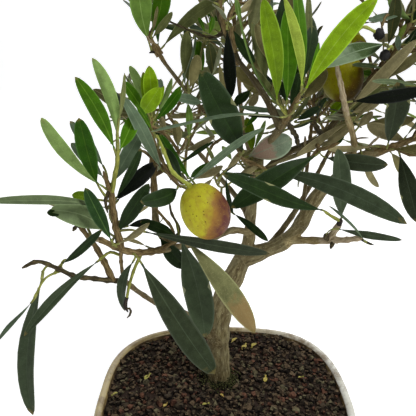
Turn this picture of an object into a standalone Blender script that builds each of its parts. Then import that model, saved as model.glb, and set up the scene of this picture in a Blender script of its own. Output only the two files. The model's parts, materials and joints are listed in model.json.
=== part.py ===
"""A small olive bonsai in a cream glazed pot, in metres.

+X runs to the right and -Y towards the side that the tree is seen from. The origin is the
centre of the pot's flat underside. The trunk leans a little to the right and forks low, its
limbs carry thin boughs, and each bough ends in one mass of twigs, narrow leaves and olives.
"""

import math
import random

import bmesh
import bpy
from mathutils import Matrix, Vector
from mathutils.bvhtree import BVHTree

GAP = 0.0003
SHARP_ANGLE = math.radians(50)

# Pot: rounded square, outside sizes at the rim
POT_WIDTH = 0.150
POT_DEPTH = 0.144
POT_HEIGHT = 0.060
POT_FOOT_SCALE = 0.84
POT_WALL = 0.0045
POT_FLOOR = 0.006
POT_CORNER_POWER = 2.8
POT_SIDES = 48
POT_EDGE_ROUND = 0.0015
SOIL_DROP = 0.0035
SOIL_TOP = POT_HEIGHT - SOIL_DROP
SOIL_LUMP = 0.0016
SOIL_FLAT_ROUND_TRUNK = 0.0210
SOIL_SEED = 5

# Trunk: centre line from the soil to the fork, with the radius at each point
TRUNK_FOOT = Vector((-0.0026, 0.0136, SOIL_TOP + GAP))
TRUNK_LINE = (
    ((-0.0026, 0.0136, SOIL_TOP + 0.0030), 0.0067),
    ((-0.0030, 0.0124, 0.0720), 0.0065),
    ((-0.0034, 0.0107, 0.0860), 0.0062),
    ((-0.0013, 0.0078, 0.1130), 0.0058),
    ((0.0042, 0.0053, 0.1300), 0.0053),
    ((0.0100, 0.0040, 0.1440), 0.0047),
)
TRUNK_FOOT_RADIUS = 0.0069
FORK = Vector((0.0100, 0.0040, 0.1440))
FORK_STUB = 0.0100
STUB_SWELLS = (1.12, 1.02)

# Limbs and boughs: parent, place along the parent (None: at the fork, 1: at its tip),
# the points they run through, and the radii at their two ends
LIMBS = {
    "left_limb": (
        "trunk", None,
        ((0.013, 0.004, 0.155), (0.014, 0.005, 0.169), (0.015, 0.003, 0.184), (0.017, 0.000, 0.1955)),
        0.0036, 0.0021,
    ),
    "right_limb": (
        "trunk", None,
        ((0.020, 0.002, 0.149), (0.031, 0.000, 0.155), (0.0385, -0.002, 0.164), (0.044, -0.004, 0.178),
         (0.050, -0.006, 0.188)),
        0.0040, 0.0022,
    ),
    "centre_bough": (
        "left_limb", 1,
        ((0.0175, -0.006, 0.207), (0.023, -0.014, 0.216), (0.026, -0.024, 0.225)),
        0.0018, 0.0014,
    ),
    "outer_right_bough": (
        "right_limb", 1, ((0.064, -0.009, 0.2035), (0.074, -0.011, 0.2065)), 0.0019, 0.0015,
    ),
    "upper_right_bough": (
        "left_limb", 0.86,
        ((0.028, 0.002, 0.202), (0.038, 0.004, 0.2065), (0.050, 0.006, 0.212), (0.061, 0.008, 0.226),
         (0.072, 0.008, 0.240)),
        0.0016, 0.0012,
    ),
    "mid_right_bough": ("upper_right_bough", 0.45, ((0.045, -0.008, 0.2105),), 0.0011, 0.0010),
    "upper_left_bough": (
        "left_limb", 0.92,
        ((0.002, 0.002, 0.2115), (-0.0135, 0.005, 0.227), (-0.0235, 0.005, 0.239), (-0.032, 0.003, 0.250)),
        0.0014, 0.0010,
    ),
    "inner_bough": ("left_limb", 0.90, ((0.011, -0.009, 0.202),), 0.0011, 0.0010),
    "front_left_bough": (
        "left_limb", 0.30,
        ((0.003, -0.008, 0.165), (-0.013, -0.028, 0.1665), (-0.029, -0.048, 0.171)),
        0.0017, 0.0013,
    ),
    "upright_left_bough": (
        "front_left_bough", 0.90, ((-0.032, -0.040, 0.179), (-0.0335, -0.036, 0.195)), 0.0013, 0.0012,
    ),
    "low_left_bough": (
        "trunk", 0.36,
        ((-0.014, 0.002, 0.099), (-0.021, -0.008, 0.116), (-0.036, -0.032, 0.137), (-0.047, -0.052, 0.159)),
        0.0018, 0.0011,
    ),
    "upright_right_bough": (
        "outer_right_bough", 0.55, ((0.0595, -0.014, 0.214), (0.0535, -0.020, 0.228)), 0.0015, 0.0013,
    ),
    "low_right_bough": ("right_limb", 0.42, ((0.051, -0.012, 0.161),), 0.0012, 0.0011),
    "top_bough": (
        "centre_bough", 0.80, ((0.015, -0.020, 0.236), (0.003, -0.018, 0.251)), 0.0012, 0.0010,
    ),
    "right_back_bough": (
        "right_limb", 0.62, ((0.043, 0.008, 0.186), (0.047, 0.022, 0.203)), 0.0013, 0.0010,
    ),
    "back_right_bough": (
        "right_limb", 0.22,
        ((0.037, 0.014, 0.164), (0.052, 0.032, 0.180), (0.064, 0.046, 0.196)),
        0.0018, 0.0012,
    ),
    "back_left_bough": (
        "left_limb", 0.42,
        ((0.008, 0.016, 0.174), (-0.006, 0.031, 0.188), (-0.022, 0.045, 0.204)),
        0.0017, 0.0012,
    ),
    "back_top_bough": (
        "left_limb", 0.70,
        ((0.014, 0.014, 0.196), (0.010, 0.026, 0.216), (0.008, 0.034, 0.236)),
        0.0015, 0.0011,
    ),
}
TRUNK_SIDES = 14
LIMB_SIDES = 6
PATH_STEPS = 2

# Twigs, three-sided
TWIG_RADIUS = 0.0010
TWIG_TIP_RADIUS = 0.0006
TWIG_SIDES = 3
TWIG_STEPS = 2
STEM_SWELL = 1.3

# Leaves: a narrow blade on a petiole whose root is sunk in the twig. The shape gives the
# part of the full width at two places along the blade.
LEAF_THICKNESS = 0.0009
LEAF_THICKNESS_TO_LENGTH = 0.014
PETIOLE_WIDTH = 0.0011
PETIOLE_HEIGHT = 0.0009
PETIOLE_LENGTH = 0.004
PETIOLE_ROOT_SCALE = 0.7
LEAF_SHAPE = ((0.30, 0.86), (0.70, 0.92))
LEAF_CLEARANCE = 0.0006
VIEWED_FROM = Vector((0.0, -0.95, 0.30))

# The seeded rule: side twigs a golden turn apart along the stem, and crossed pairs of leaves
# along each twig. Ranges are (least, most), and angles are in degrees.
GOLDEN_TURN = 137.5
SIDE_TWIG_PLACES = (0.16, 0.96)
SIDE_TWIG_LENGTHS = (0.75, 1.15)
SIDE_TWIG_FORWARD = 0.55
SIDE_TWIG_RISE = 0.22
NODE_SPACING = 0.0095
LEAF_LEANS = (38, 62)
LEAF_LEAN_LOST_TO_TIP = 18
LEAF_TURN_SPREAD = 12
LEAF_RISES = (-0.20, 0.10)
LEAF_LENGTHS = (0.70, 1.10)
LEAF_ARCHES = (0.02, 0.07)
LEAF_TO_WIDTH = 0.21

# Masses: the bough each grows from and the points of its stem beyond the bough's tip. Where
# it has a space, the seeded rule adds side twigs of about the given length, with pairs of
# leaves, and every leaf tip stays inside that sphere.
MASSES = {
    "foliage_left": {
        "bough": "front_left_bough",
        "stem": ((-0.038, -0.056, 0.173), (-0.0455, -0.060, 0.1765), (-0.054, -0.062, 0.182)),
    },
    "foliage_mid_left": {
        "bough": "upright_left_bough",
        "stem": ((-0.034, -0.034, 0.214), (-0.034, -0.034, 0.231)),
        "space": ((-0.018, -0.016, 0.228), 0.038),
        "twigs": 5,
        "twig_length": 0.018,
        "leaf_length": 0.032,
        "seed": 2,
    },
    "foliage_low_left": {
        "bough": "low_left_bough",
        "stem": ((-0.057, -0.060, 0.163), (-0.067, -0.068, 0.1715), (-0.079, -0.078, 0.176)),
    },
    "foliage_upper_left": {
        "bough": "upper_left_bough",
        "stem": ((-0.038, 0.002, 0.262), (-0.038, 0.006, 0.272)),
        "space": ((-0.016, 0.012, 0.272), 0.044),
        "twigs": 6,
        "twig_length": 0.018,
        "leaf_length": 0.036,
        "seed": 4,
    },
    "foliage_inner": {
        "bough": "inner_bough",
        "stem": ((0.004, -0.020, 0.2075),),
    },
    "foliage_centre": {
        "bough": "centre_bough",
        "stem": ((0.028, -0.031, 0.232), (0.030, -0.037, 0.238)),
    },
    "foliage_top": {
        "bough": "top_bough",
        "stem": ((-0.004, -0.014, 0.266), (-0.006, -0.010, 0.282)),
        "space": ((0.004, -0.008, 0.276), 0.046),
        "twigs": 7,
        "twig_length": 0.020,
        "leaf_length": 0.038,
        "seed": 7,
    },
    "foliage_mid_right": {
        "bough": "mid_right_bough",
        "stem": ((0.044, -0.018, 0.2095), (0.050, -0.026, 0.214)),
        "space": ((0.056, -0.012, 0.212), 0.034),
        "twigs": 4,
        "twig_length": 0.014,
        "leaf_length": 0.032,
        "seed": 8,
    },
    "foliage_upper_right": {
        "bough": "upper_right_bough",
        "stem": ((0.082, 0.008, 0.254), (0.089, 0.006, 0.272)),
        "space": ((0.084, 0.008, 0.268), 0.048),
        "twigs": 7,
        "twig_length": 0.022,
        "leaf_length": 0.038,
        "seed": 9,
    },
    "foliage_outer_right": {
        "bough": "outer_right_bough",
        "stem": ((0.091, -0.012, 0.214), (0.103, -0.014, 0.222), (0.110, -0.014, 0.234)),
        "space": ((0.104, -0.008, 0.222), 0.046),
        "twigs": 7,
        "twig_length": 0.020,
        "leaf_length": 0.038,
        "seed": 10,
    },
    "foliage_front_right": {
        "bough": "upright_right_bough",
        "stem": ((0.048, -0.024, 0.2455), (0.047, -0.019, 0.257)),
        "space": ((0.052, -0.016, 0.256), 0.038),
        "twigs": 4,
        "twig_length": 0.016,
        "leaf_length": 0.034,
        "seed": 11,
    },
    "foliage_low_right": {
        "bough": "low_right_bough",
        "stem": ((0.0585, -0.020, 0.1645), (0.065, -0.026, 0.1685), (0.0695, -0.030, 0.172)),
    },
    "foliage_right_back": {
        "bough": "right_back_bough",
        "stem": ((0.050, 0.034, 0.220), (0.052, 0.042, 0.240)),
        "space": ((0.050, 0.036, 0.230), 0.048),
        "twigs": 8,
        "twig_length": 0.020,
        "leaf_length": 0.040,
        "seed": 13,
    },
    "foliage_back_right": {
        "bough": "back_right_bough",
        "stem": ((0.076, 0.058, 0.210), (0.084, 0.064, 0.228)),
        "space": ((0.080, 0.056, 0.214), 0.048),
        "twigs": 8,
        "twig_length": 0.022,
        "leaf_length": 0.040,
        "seed": 14,
    },
    "foliage_back_left": {
        "bough": "back_left_bough",
        "stem": ((-0.034, 0.056, 0.218), (-0.040, 0.060, 0.238)),
        "space": ((-0.028, 0.058, 0.224), 0.052),
        "twigs": 9,
        "twig_length": 0.024,
        "leaf_length": 0.040,
        "seed": 15,
    },
    "foliage_back_top": {
        "bough": "back_top_bough",
        "stem": ((0.006, 0.040, 0.256), (0.004, 0.042, 0.276)),
        "space": ((0.004, 0.040, 0.264), 0.050),
        "twigs": 9,
        "twig_length": 0.022,
        "leaf_length": 0.040,
        "seed": 16,
    },
}

# Twigs that the photograph shows one by one, each from the nearest place on its mass's wood
SHOWN_TWIGS = {
    "foliage_left": (
        ((-0.031, -0.050, 0.172), (-0.020, -0.049, 0.177)),
        ((-0.0455, -0.060, 0.1765), (-0.047, -0.060, 0.191), (-0.048, -0.058, 0.200), (-0.050, -0.060, 0.209)),
        ((-0.0488, -0.059, 0.203), (-0.044, -0.062, 0.214), (-0.043, -0.064, 0.225)),
        ((-0.0375, -0.056, 0.173), (-0.0375, -0.060, 0.1715), (-0.042, -0.061, 0.163), (-0.044, -0.061, 0.153)),
    ),
    "foliage_mid_left": (
        ((-0.034, -0.034, 0.220), (-0.0285, -0.050, 0.2215), (-0.025, -0.056, 0.213), (-0.019, -0.060, 0.204)),
        ((-0.0335, -0.0355, 0.205), (-0.029, -0.047, 0.2085), (-0.0205, -0.052, 0.200)),
    ),
    "foliage_low_left": (
        ((-0.049, -0.0535, 0.160), (-0.056, -0.055, 0.174), (-0.0645, -0.058, 0.184)),
        ((-0.0475, -0.0525, 0.1595), (-0.0460, -0.0575, 0.171)),
    ),
    "foliage_inner": (
        ((0.0088, -0.0125, 0.2037), (0.0190, -0.0130, 0.1990)),
    ),
    "foliage_centre": (
        ((0.0262, -0.0255, 0.226), (0.0215, -0.0305, 0.2315)),
    ),
    "foliage_top": (
        ((0.002, -0.018, 0.253), (0.000, -0.029, 0.264)),
    ),
    "foliage_upper_right": (
        ((0.077, 0.007, 0.247), (0.074, -0.009, 0.2555)),
        ((0.074, 0.007, 0.243), (0.066, 0.004, 0.2575), (0.059, 0.003, 0.2550)),
    ),
    "foliage_low_right": (
        ((0.0525, -0.0135, 0.162), (0.0555, -0.0195, 0.1735)),
    ),
}

# Leaves that the photograph shows one by one: foot and tip of the blade, width, turn of the
# upper face away from the viewer in degrees, arch towards the upper face and sweep to the
# left, as seen from foot to tip, both as a part of the length
SHOWN_LEAVES = {
    "foliage_left": (
        ((-0.043, -0.064, 0.222), (-0.049, -0.070, 0.251), 0.0054, 165, 0.04, -0.05),
        ((-0.044, -0.064, 0.221), (-0.054, -0.074, 0.245), 0.0040, 20, 0.05, -0.05),
        ((-0.051, -0.060, 0.203), (-0.065, -0.080, 0.232), 0.0072, 170, 0.04, 0.08),
        ((-0.052, -0.063, 0.205), (-0.054, -0.076, 0.231), 0.0056, 0, 0.05, 0),
        ((-0.051, -0.056, 0.210), (-0.061, -0.058, 0.228), 0.0044, 30, 0.04, 0),
        ((-0.051, -0.057, 0.206), (-0.060, -0.060, 0.220), 0.0044, 30, 0.03, 0),
        ((-0.0400, -0.0655, 0.2275), (-0.0365, -0.0665, 0.247), 0.0030, 70, 0.02, 0),
        ((-0.048, -0.056, 0.203), (-0.036, -0.053, 0.223), 0.0062, 20, 0.03, 0),
        ((-0.0465, -0.056, 0.197), (-0.035, -0.060, 0.218), 0.0040, 40, 0.05, 0),
        ((-0.047, -0.055, 0.196), (-0.031, -0.046, 0.209), 0.0062, 10, 0.05, 0),
        ((-0.046, -0.060, 0.184), (-0.032, -0.064, 0.205), 0.0062, 15, 0.08, 0),
        ((-0.050, -0.060, 0.195), (-0.084, -0.088, 0.206), 0.0052, 40, 0.06, 0),
        ((-0.050, -0.060, 0.184), (-0.069, -0.070, 0.196), 0.0084, 20, 0.05, -0.1),
        ((-0.048, -0.064, 0.182), (-0.055, -0.070, 0.205), 0.0058, 10, 0.03, 0),
        ((-0.050, -0.060, 0.198), (-0.061, -0.063, 0.202), 0.0044, 10, 0.03, 0),
        ((-0.045, -0.063, 0.180), (-0.032, -0.067, 0.190), 0.0034, 150, 0.05, 0),
        ((-0.023, -0.050, 0.178), (-0.038, -0.051, 0.185), 0.0050, 20, 0.08, 0),
        ((-0.031, -0.058, 0.179), (0.019, -0.044, 0.167), 0.0050, 30, 0.10, 0.04),
        ((-0.0495, -0.064, 0.176), (-0.082, -0.080, 0.148), 0.0062, 20, 0.05, 0),
        ((-0.040, -0.057, 0.169), (-0.046, -0.058, 0.148), 0.0048, 30, 0.10, -0.1),
        ((-0.037, -0.062, 0.171), (-0.006, -0.078, 0.129), 0.0098, 10, -0.05, -0.04),
        ((-0.020, -0.048, 0.174), (-0.009, -0.052, 0.129), 0.0128, 15, -0.04, 0),
        ((-0.017, -0.052, 0.176), (0.012, -0.060, 0.1375), 0.0124, 170, -0.05, 0.03),
    ),
    "foliage_mid_left": (
        ((-0.033, -0.037, 0.231), (-0.032, -0.050, 0.248), 0.0062, 20, 0.04, 0),
        ((-0.035, -0.037, 0.230), (-0.040, -0.046, 0.248), 0.0048, 150, 0.04, 0),
        ((-0.036, -0.037, 0.228), (-0.043, -0.046, 0.242), 0.0048, 20, 0.06, 0),
        ((-0.030, -0.038, 0.228), (-0.026, -0.050, 0.242), 0.0070, 150, 0.05, 0),
        ((-0.032, -0.034, 0.225), (-0.021, -0.031, 0.238), 0.0046, 30, 0.05, 0),
        ((-0.034, -0.032, 0.231), (-0.027, -0.026, 0.250), 0.0050, 20, 0.04, 0),
        ((-0.029, -0.049, 0.208), (-0.041, -0.062, 0.238), 0.0052, 20, 0.05, 0),
        ((-0.022, -0.053, 0.200), (-0.035, -0.068, 0.199), 0.0068, 0, 0.08, 0.08),
        ((-0.018, -0.050, 0.201), (0.015, -0.034, 0.222), 0.0042, 40, -0.05, 0),
        ((-0.020, -0.050, 0.202), (-0.0275, -0.043, 0.215), 0.0044, 20, 0.05, 0),
    ),
    "foliage_low_left": (
        ((-0.0665, -0.069, 0.174), (-0.049, -0.074, 0.190), 0.0036, 30, 0.06, 0),
        ((-0.0745, -0.071, 0.165), (-0.082, -0.080, 0.112), 0.0084, 15, -0.02, -0.10),
        ((-0.071, -0.073, 0.170), (-0.091, -0.092, 0.150), 0.0036, 40, 0.10, 0.08),
    ),
    "foliage_inner": (
        ((0.003, -0.025, 0.208), (-0.012, -0.056, 0.247), 0.0130, 0, 0.04, 0),
        ((0.021, -0.014, 0.198), (0.076, -0.048, 0.183), 0.0100, 15, 0.06, 0.055),
        ((0.006, -0.012, 0.202), (-0.004, -0.014, 0.195), 0.0030, 60, 0.05, 0),
    ),
    "foliage_centre": (
        ((0.020, -0.032, 0.234), (0.011, -0.048, 0.272), 0.0086, 20, 0.05, 0),
        ((0.0245, -0.0315, 0.2335), (0.0225, -0.0345, 0.270), 0.0086, 10, 0.03, 0),
        ((0.029, -0.039, 0.240), (0.019, -0.046, 0.273), 0.0032, 70, -0.10, -0.06),
        ((0.0315, -0.035, 0.241), (0.028, -0.026, 0.279), 0.0062, 20, 0.02, 0),
        ((0.031, -0.039, 0.239), (0.052, -0.054, 0.272), 0.0084, 15, 0.06, 0.06),
        ((0.032, -0.036, 0.240), (0.037, -0.030, 0.257), 0.0034, 40, 0.03, 0),
        ((0.025, -0.023, 0.228), (0.002, -0.034, 0.274), 0.0034, 65, -0.08, 0.05),
        ((0.021, -0.028, 0.226), (-0.034, -0.048, 0.222), 0.0036, 70, 0.05, -0.035),
    ),
    "foliage_top": (
        ((-0.0005, -0.034, 0.261), (0.001, -0.032, 0.234), 0.0058, 10, -0.05, 0),
    ),
    "foliage_mid_right": (
        ((0.042, -0.019, 0.206), (0.0005, -0.046, 0.189), 0.0108, 15, 0.05, 0),
        ((0.048, -0.013, 0.2045), (0.0755, -0.020, 0.2025), 0.0088, 30, 0.06, 0),
    ),
    "foliage_upper_right": (
        ((0.069, -0.015, 0.2555), (0.037, -0.038, 0.247), 0.0090, 20, 0.05, 0),
    ),
    "foliage_outer_right": (
        ((0.083, -0.014, 0.206), (0.089, -0.030, 0.177), 0.0092, 20, 0.05, 0),
        ((0.077, -0.015, 0.211), (0.074, -0.026, 0.237), 0.0098, 10, 0.05, 0),
    ),
    "foliage_front_right": (
        ((0.056, -0.021, 0.232), (0.083, -0.034, 0.238), 0.0062, 30, 0.05, 0),
    ),
    "foliage_low_right": (
        ((0.056, -0.019, 0.176), (0.050, -0.024, 0.211), 0.0088, 10, 0.03, 0),
        ((0.051, -0.022, 0.175), (-0.003, -0.038, 0.203), 0.0084, 15, 0.03, 0.03),
        ((0.064, -0.027, 0.168), (0.046, -0.032, 0.186), 0.0030, 50, 0.05, 0),
        ((0.058, -0.021, 0.170), (0.083, -0.026, 0.166), 0.0034, 60, 0.05, 0),
    ),
}

# Olives: centre, width, height and lean in degrees of each, with the two dried berries.
# The sides are those round the fruit and from end to end.
OLIVE_SIDES = (10, 7)
DRIED_BERRY_SIDES = (5, 4)
DRIED_BERRY_MOST = 0.010
OLIVES = {
    "foliage_mid_left": (((-0.0106, -0.0620, 0.1933), 0.0200, 0.0228, 20),),
    "foliage_upper_right": (
        ((0.0570, 0.0030, 0.2415), 0.0200, 0.0240, 5),
        ((0.0724, -0.0040, 0.2600), 0.0046, 0.0050, 0),
        ((0.0775, 0.0000, 0.2520), 0.0046, 0.0050, 0),
    ),
}

# Colours, roughness
CERAMIC = ((0.62, 0.58, 0.45), 0.25)
SOIL = ((0.035, 0.022, 0.016), 0.95)
BARK = ((0.16, 0.12, 0.07), 0.85)
FOLIAGE = ((0.06, 0.10, 0.04), 0.5)


def principled(name, colour, roughness):
    material = bpy.data.materials.new(name)
    material.use_nodes = True
    shader = material.node_tree.nodes["Principled BSDF"]
    shader.inputs["Base Color"].default_value = (*colour, 1)
    shader.inputs["Roughness"].default_value = roughness
    return material


def add_object(name, mesh, collection):
    obj = bpy.data.objects.new(name, mesh)
    collection.objects.link(obj)
    return obj


def shade_round(mesh):
    mesh.shade_smooth()
    mesh.set_sharp_from_angle(angle=SHARP_ANGLE)


def bm_to_mesh(bm, name):
    bmesh.ops.recalc_face_normals(bm, faces=bm.faces)
    if bm.calc_volume(signed=True) < 0:
        bmesh.ops.reverse_faces(bm, faces=bm.faces)
    mesh = bpy.data.meshes.new(name)
    bm.to_mesh(mesh)
    bm.free()
    return mesh


def evaluated_mesh(obj):
    bpy.context.view_layer.update()
    graph = bpy.context.evaluated_depsgraph_get()
    return bpy.data.meshes.new_from_object(obj.evaluated_get(graph))


# Pot and soil


def pot_size(height, inset):
    """Width and depth of the pot's outline at a height, drawn in by an inset on every side."""
    scale = POT_FOOT_SCALE + (1 - POT_FOOT_SCALE) * height / POT_HEIGHT
    return POT_WIDTH * scale - 2 * inset, POT_DEPTH * scale - 2 * inset


def outline_place(angle, height, inset):
    """A point of the pot's outline, drawn in by an inset, at an angle and a height."""
    across, along = math.cos(angle), math.sin(angle)
    power = POT_CORNER_POWER
    reach = (abs(across) ** power + abs(along) ** power) ** (-1 / power)
    width, depth = pot_size(height, inset)
    return Vector((across * reach * width / 2, along * reach * depth / 2, height))


def rounded_frustum(low, high, inset):
    """The pot's taper between two heights, drawn in by an inset on every side."""
    bm = bmesh.new()
    bmesh.ops.create_cone(bm, cap_ends=True, segments=POT_SIDES, radius1=1, radius2=1, depth=1)
    for vert in bm.verts:
        angle = math.atan2(vert.co.y, vert.co.x)
        vert.co = outline_place(angle, high if vert.co.z > 0 else low, inset)
    return bm_to_mesh(bm, "frustum")


def make_pot(parts, cutters):
    pot = add_object("pot", rounded_frustum(0, POT_HEIGHT, 0), parts)
    above = POT_HEIGHT + POT_FLOOR
    hollow = add_object("pot_hollow", rounded_frustum(POT_FLOOR, above, POT_WALL), cutters)
    hollow.hide_render = True
    hollow.display_type = "WIRE"
    edges = pot.modifiers.new("edges", "BEVEL")
    edges.width = POT_EDGE_ROUND
    edges.segments = 2
    edges.angle_limit = SHARP_ANGLE
    cut = pot.modifiers.new("hollow", "BOOLEAN")
    cut.object = hollow
    shade_round(pot.data)
    pot.data.materials.append(principled("ceramic", *CERAMIC))


def ring_angle(row, column, ring):
    """Angle of a square grid's point on the given ring round its middle, evenly along that ring."""
    if column == ring and row > -ring:
        step = row + ring
    elif row == ring:
        step = 3 * ring - column
    elif column == -ring:
        step = 5 * ring - row
    else:
        step = 7 * ring + column
    return math.radians(45 * (step / ring - 1))


def make_soil(parts):
    """The pot's fill: rings of points from the middle out, lumpy on top except under the trunk."""
    chance = random.Random(SOIL_SEED)
    inset = POT_WALL + GAP
    rings = POT_SIDES // 8
    bm = bmesh.new()
    verts = {}
    rim = {}
    for row in range(-rings, rings + 1):
        for column in range(-rings, rings + 1):
            ring = max(abs(row), abs(column))
            angle = ring_angle(row, column, ring) if ring else 0
            place = outline_place(angle, SOIL_TOP, inset)
            place.xy *= ring / rings
            if ring < rings and (place - TRUNK_FOOT).length > SOIL_FLAT_ROUND_TRUNK:
                place.z += SOIL_LUMP * chance.random()
            verts[row, column] = bm.verts.new(place)
            if ring == rings:
                rim[angle] = verts[row, column]
    for row in range(-rings, rings):
        for column in range(-rings, rings):
            corners = ((row, column), (row, column + 1), (row + 1, column + 1), (row + 1, column))
            bm.faces.new([verts[corner] for corner in corners])
    bmesh.ops.triangulate(bm, faces=bm.faces)
    angles = sorted(rim)
    low = [bm.verts.new(outline_place(angle, POT_FLOOR + GAP, inset)) for angle in angles]
    for index, angle in enumerate(angles):
        bm.faces.new((rim[angle], rim[angles[index - 1]], low[index - 1], low[index]))
    bm.faces.new(low)
    soil = add_object("soil", bm_to_mesh(bm, "soil"), parts)
    soil.data.materials.append(principled("soil", *SOIL))


# Wood


def smooth_line(points, steps):
    """A Catmull-Rom line through the points, with the given number of steps between two."""
    points = [Vector(point) for point in points]
    ends = [points[0] * 2 - points[1], *points, points[-1] * 2 - points[-2]]
    line = []
    for a, b, c, d in zip(ends, ends[1:], ends[2:], ends[3:]):
        for step in range(steps):
            t = step / steps
            line.append(
                (b * 2 + (c - a) * t + (a * 2 - b * 5 + c * 4 - d) * t**2 + (b * 3 - a - c * 3 + d) * t**3) / 2
            )
    return [*line, points[-1]]


def line_lengths(line):
    """Length run at each point of a line."""
    run = [0.0]
    for a, b in zip(line, line[1:]):
        run.append(run[-1] + (b - a).length)
    return run


def place_on(line, part):
    """The point and the direction at a part of a line's length, from 0 to 1."""
    run = line_lengths(line)
    goal = run[-1] * min(max(part, 0), 1)
    for index, (a, b) in enumerate(zip(line, line[1:])):
        if run[index + 1] >= goal or index == len(line) - 2:
            direction = (b - a).normalized()
            return a + direction * (goal - run[index]), direction


def tube_mesh(line, radii, sides):
    """A closed tapering tube along a line. Three sides come from a triangle as its section."""
    curve = bpy.data.curves.new("tube", "CURVE")
    curve.dimensions = "3D"
    curve.use_fill_caps = True
    if sides == 3:
        curve.bevel_mode = "OBJECT"
        curve.bevel_object = bpy.data.objects["triangle"]
    else:
        curve.bevel_depth = 1
        curve.bevel_resolution = (sides - 4) // 2
    spline = curve.splines.new("POLY")
    spline.points.add(len(line) - 1)
    for spot, point, radius in zip(spline.points, line, radii):
        spot.co = (*point, 1)
        spot.radius = radius
    obj = add_object("tube", curve, bpy.context.scene.collection)
    mesh = evaluated_mesh(obj)
    bpy.data.objects.remove(obj)
    bpy.data.curves.remove(curve)
    bm = bmesh.new()
    bm.from_mesh(mesh)
    bpy.data.meshes.remove(mesh)
    bmesh.ops.remove_doubles(bm, verts=bm.verts, dist=1e-6)
    return bm_to_mesh(bm, "tube")


def triangle_section():
    """The section that three-sided twigs follow: a triangle of unit radius."""
    curve = bpy.data.curves.new("triangle", "CURVE")
    curve.dimensions = "2D"
    spline = curve.splines.new("POLY")
    spline.points.add(2)
    for index, spot in enumerate(spline.points):
        angle = math.tau * index / 3
        spot.co = (math.cos(angle), math.sin(angle), 0, 1)
    spline.use_cyclic_u = True
    obj = add_object("triangle", curve, bpy.context.scene.collection)
    obj.hide_render = True
    return obj


def taper(line, first, last):
    run = line_lengths(line)
    return [first + (last - first) * length / run[-1] for length in run]


def limb_paths():
    """Centre line and radii of the trunk's stubs and of every limb, each clear of its parent."""
    trunk = smooth_line([point for point, _ in TRUNK_LINE], 1)
    paths = {"trunk": (trunk, [radius for _, radius in TRUNK_LINE])}
    stubs = []
    for name, (parent, place, points, first, last) in LIMBS.items():
        parent_line, parent_radii = paths[parent]
        if place is None:
            line = smooth_line([FORK, *points], PATH_STEPS)
            direction = (Vector(points[0]) - FORK).normalized()
            cut = FORK + direction * FORK_STUB
            stubs.append(([FORK, cut], [first * swell for swell in STUB_SWELLS]))
            start = cut + direction * GAP
            rest = [point for point in line if (point - start).dot(direction) > FORK_STUB / 3]
        elif place == 1:
            direction = (parent_line[-1] - parent_line[-2]).normalized()
            start = parent_line[-1] + direction * GAP
            rest = smooth_line([start, *points], PATH_STEPS)[1:]
        else:
            foot, along = place_on(parent_line, place)
            direction = (Vector(points[0]) - foot).normalized()
            slope = abs(direction.dot(along))
            girth = parent_radii[0] + (parent_radii[-1] - parent_radii[0]) * place
            reach = (girth + GAP + first * slope) / math.sqrt(1 - slope**2)
            start = foot + direction * reach
            rest = smooth_line([start, *points], PATH_STEPS)[1:]
        line = [start, start + direction * (rest[0] - start).length / 2, *rest]
        paths[name] = (line, taper(line, first, last))
    return paths, stubs


def union(name, meshes, collection):
    """One object from closed meshes that meet, joined by a Boolean on a collection."""
    pieces = bpy.data.collections.new(name + "_pieces")
    bpy.context.scene.collection.children.link(pieces)
    whole = add_object(name, meshes[0], collection)
    for mesh in meshes[1:]:
        add_object(name + "_piece", mesh, pieces)
    join = whole.modifiers.new("union", "BOOLEAN")
    join.operation = "UNION"
    join.operand_type = "COLLECTION"
    join.collection = pieces
    join.solver = "MANIFOLD"
    joined = evaluated_mesh(whole)
    whole.modifiers.remove(join)
    whole.data = joined
    for piece in list(pieces.objects):
        bpy.data.objects.remove(piece)
    bpy.data.collections.remove(pieces)
    drop_scraps(whole)
    return whole


def drop_scraps(obj):
    """Keeps only the largest connected body of a mesh."""
    bm = bmesh.new()
    bm.from_mesh(obj.data)
    unseen = set(bm.verts)
    bodies = []
    while unseen:
        body = [unseen.pop()]
        for vert in body:
            near = {edge.other_vert(vert) for edge in vert.link_edges} & unseen
            unseen -= near
            body.extend(near)
        bodies.append(body)
    bodies.sort(key=len)
    for body in bodies[:-1]:
        bmesh.ops.delete(bm, geom=body, context="VERTS")
    bm.to_mesh(obj.data)
    bm.free()


def make_trunk(paths, stubs, parts, material):
    line, radii = paths["trunk"]
    line = [TRUNK_FOOT, *line]
    radii = [TRUNK_FOOT_RADIUS, *radii]
    meshes = [tube_mesh(line, radii, TRUNK_SIDES)]
    meshes += [tube_mesh(stub, stub_radii, LIMB_SIDES) for stub, stub_radii in stubs]
    ball = bmesh.new()
    bmesh.ops.create_icosphere(ball, subdivisions=2, radius=radii[-1], matrix=Matrix.Translation(FORK))
    meshes.append(bm_to_mesh(ball, "fork"))
    trunk = union("trunk", meshes, parts)
    shade_round(trunk.data)
    trunk.data.materials.clear()
    trunk.data.materials.append(material)
    return trunk


# Leaves, twigs and olives


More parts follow.
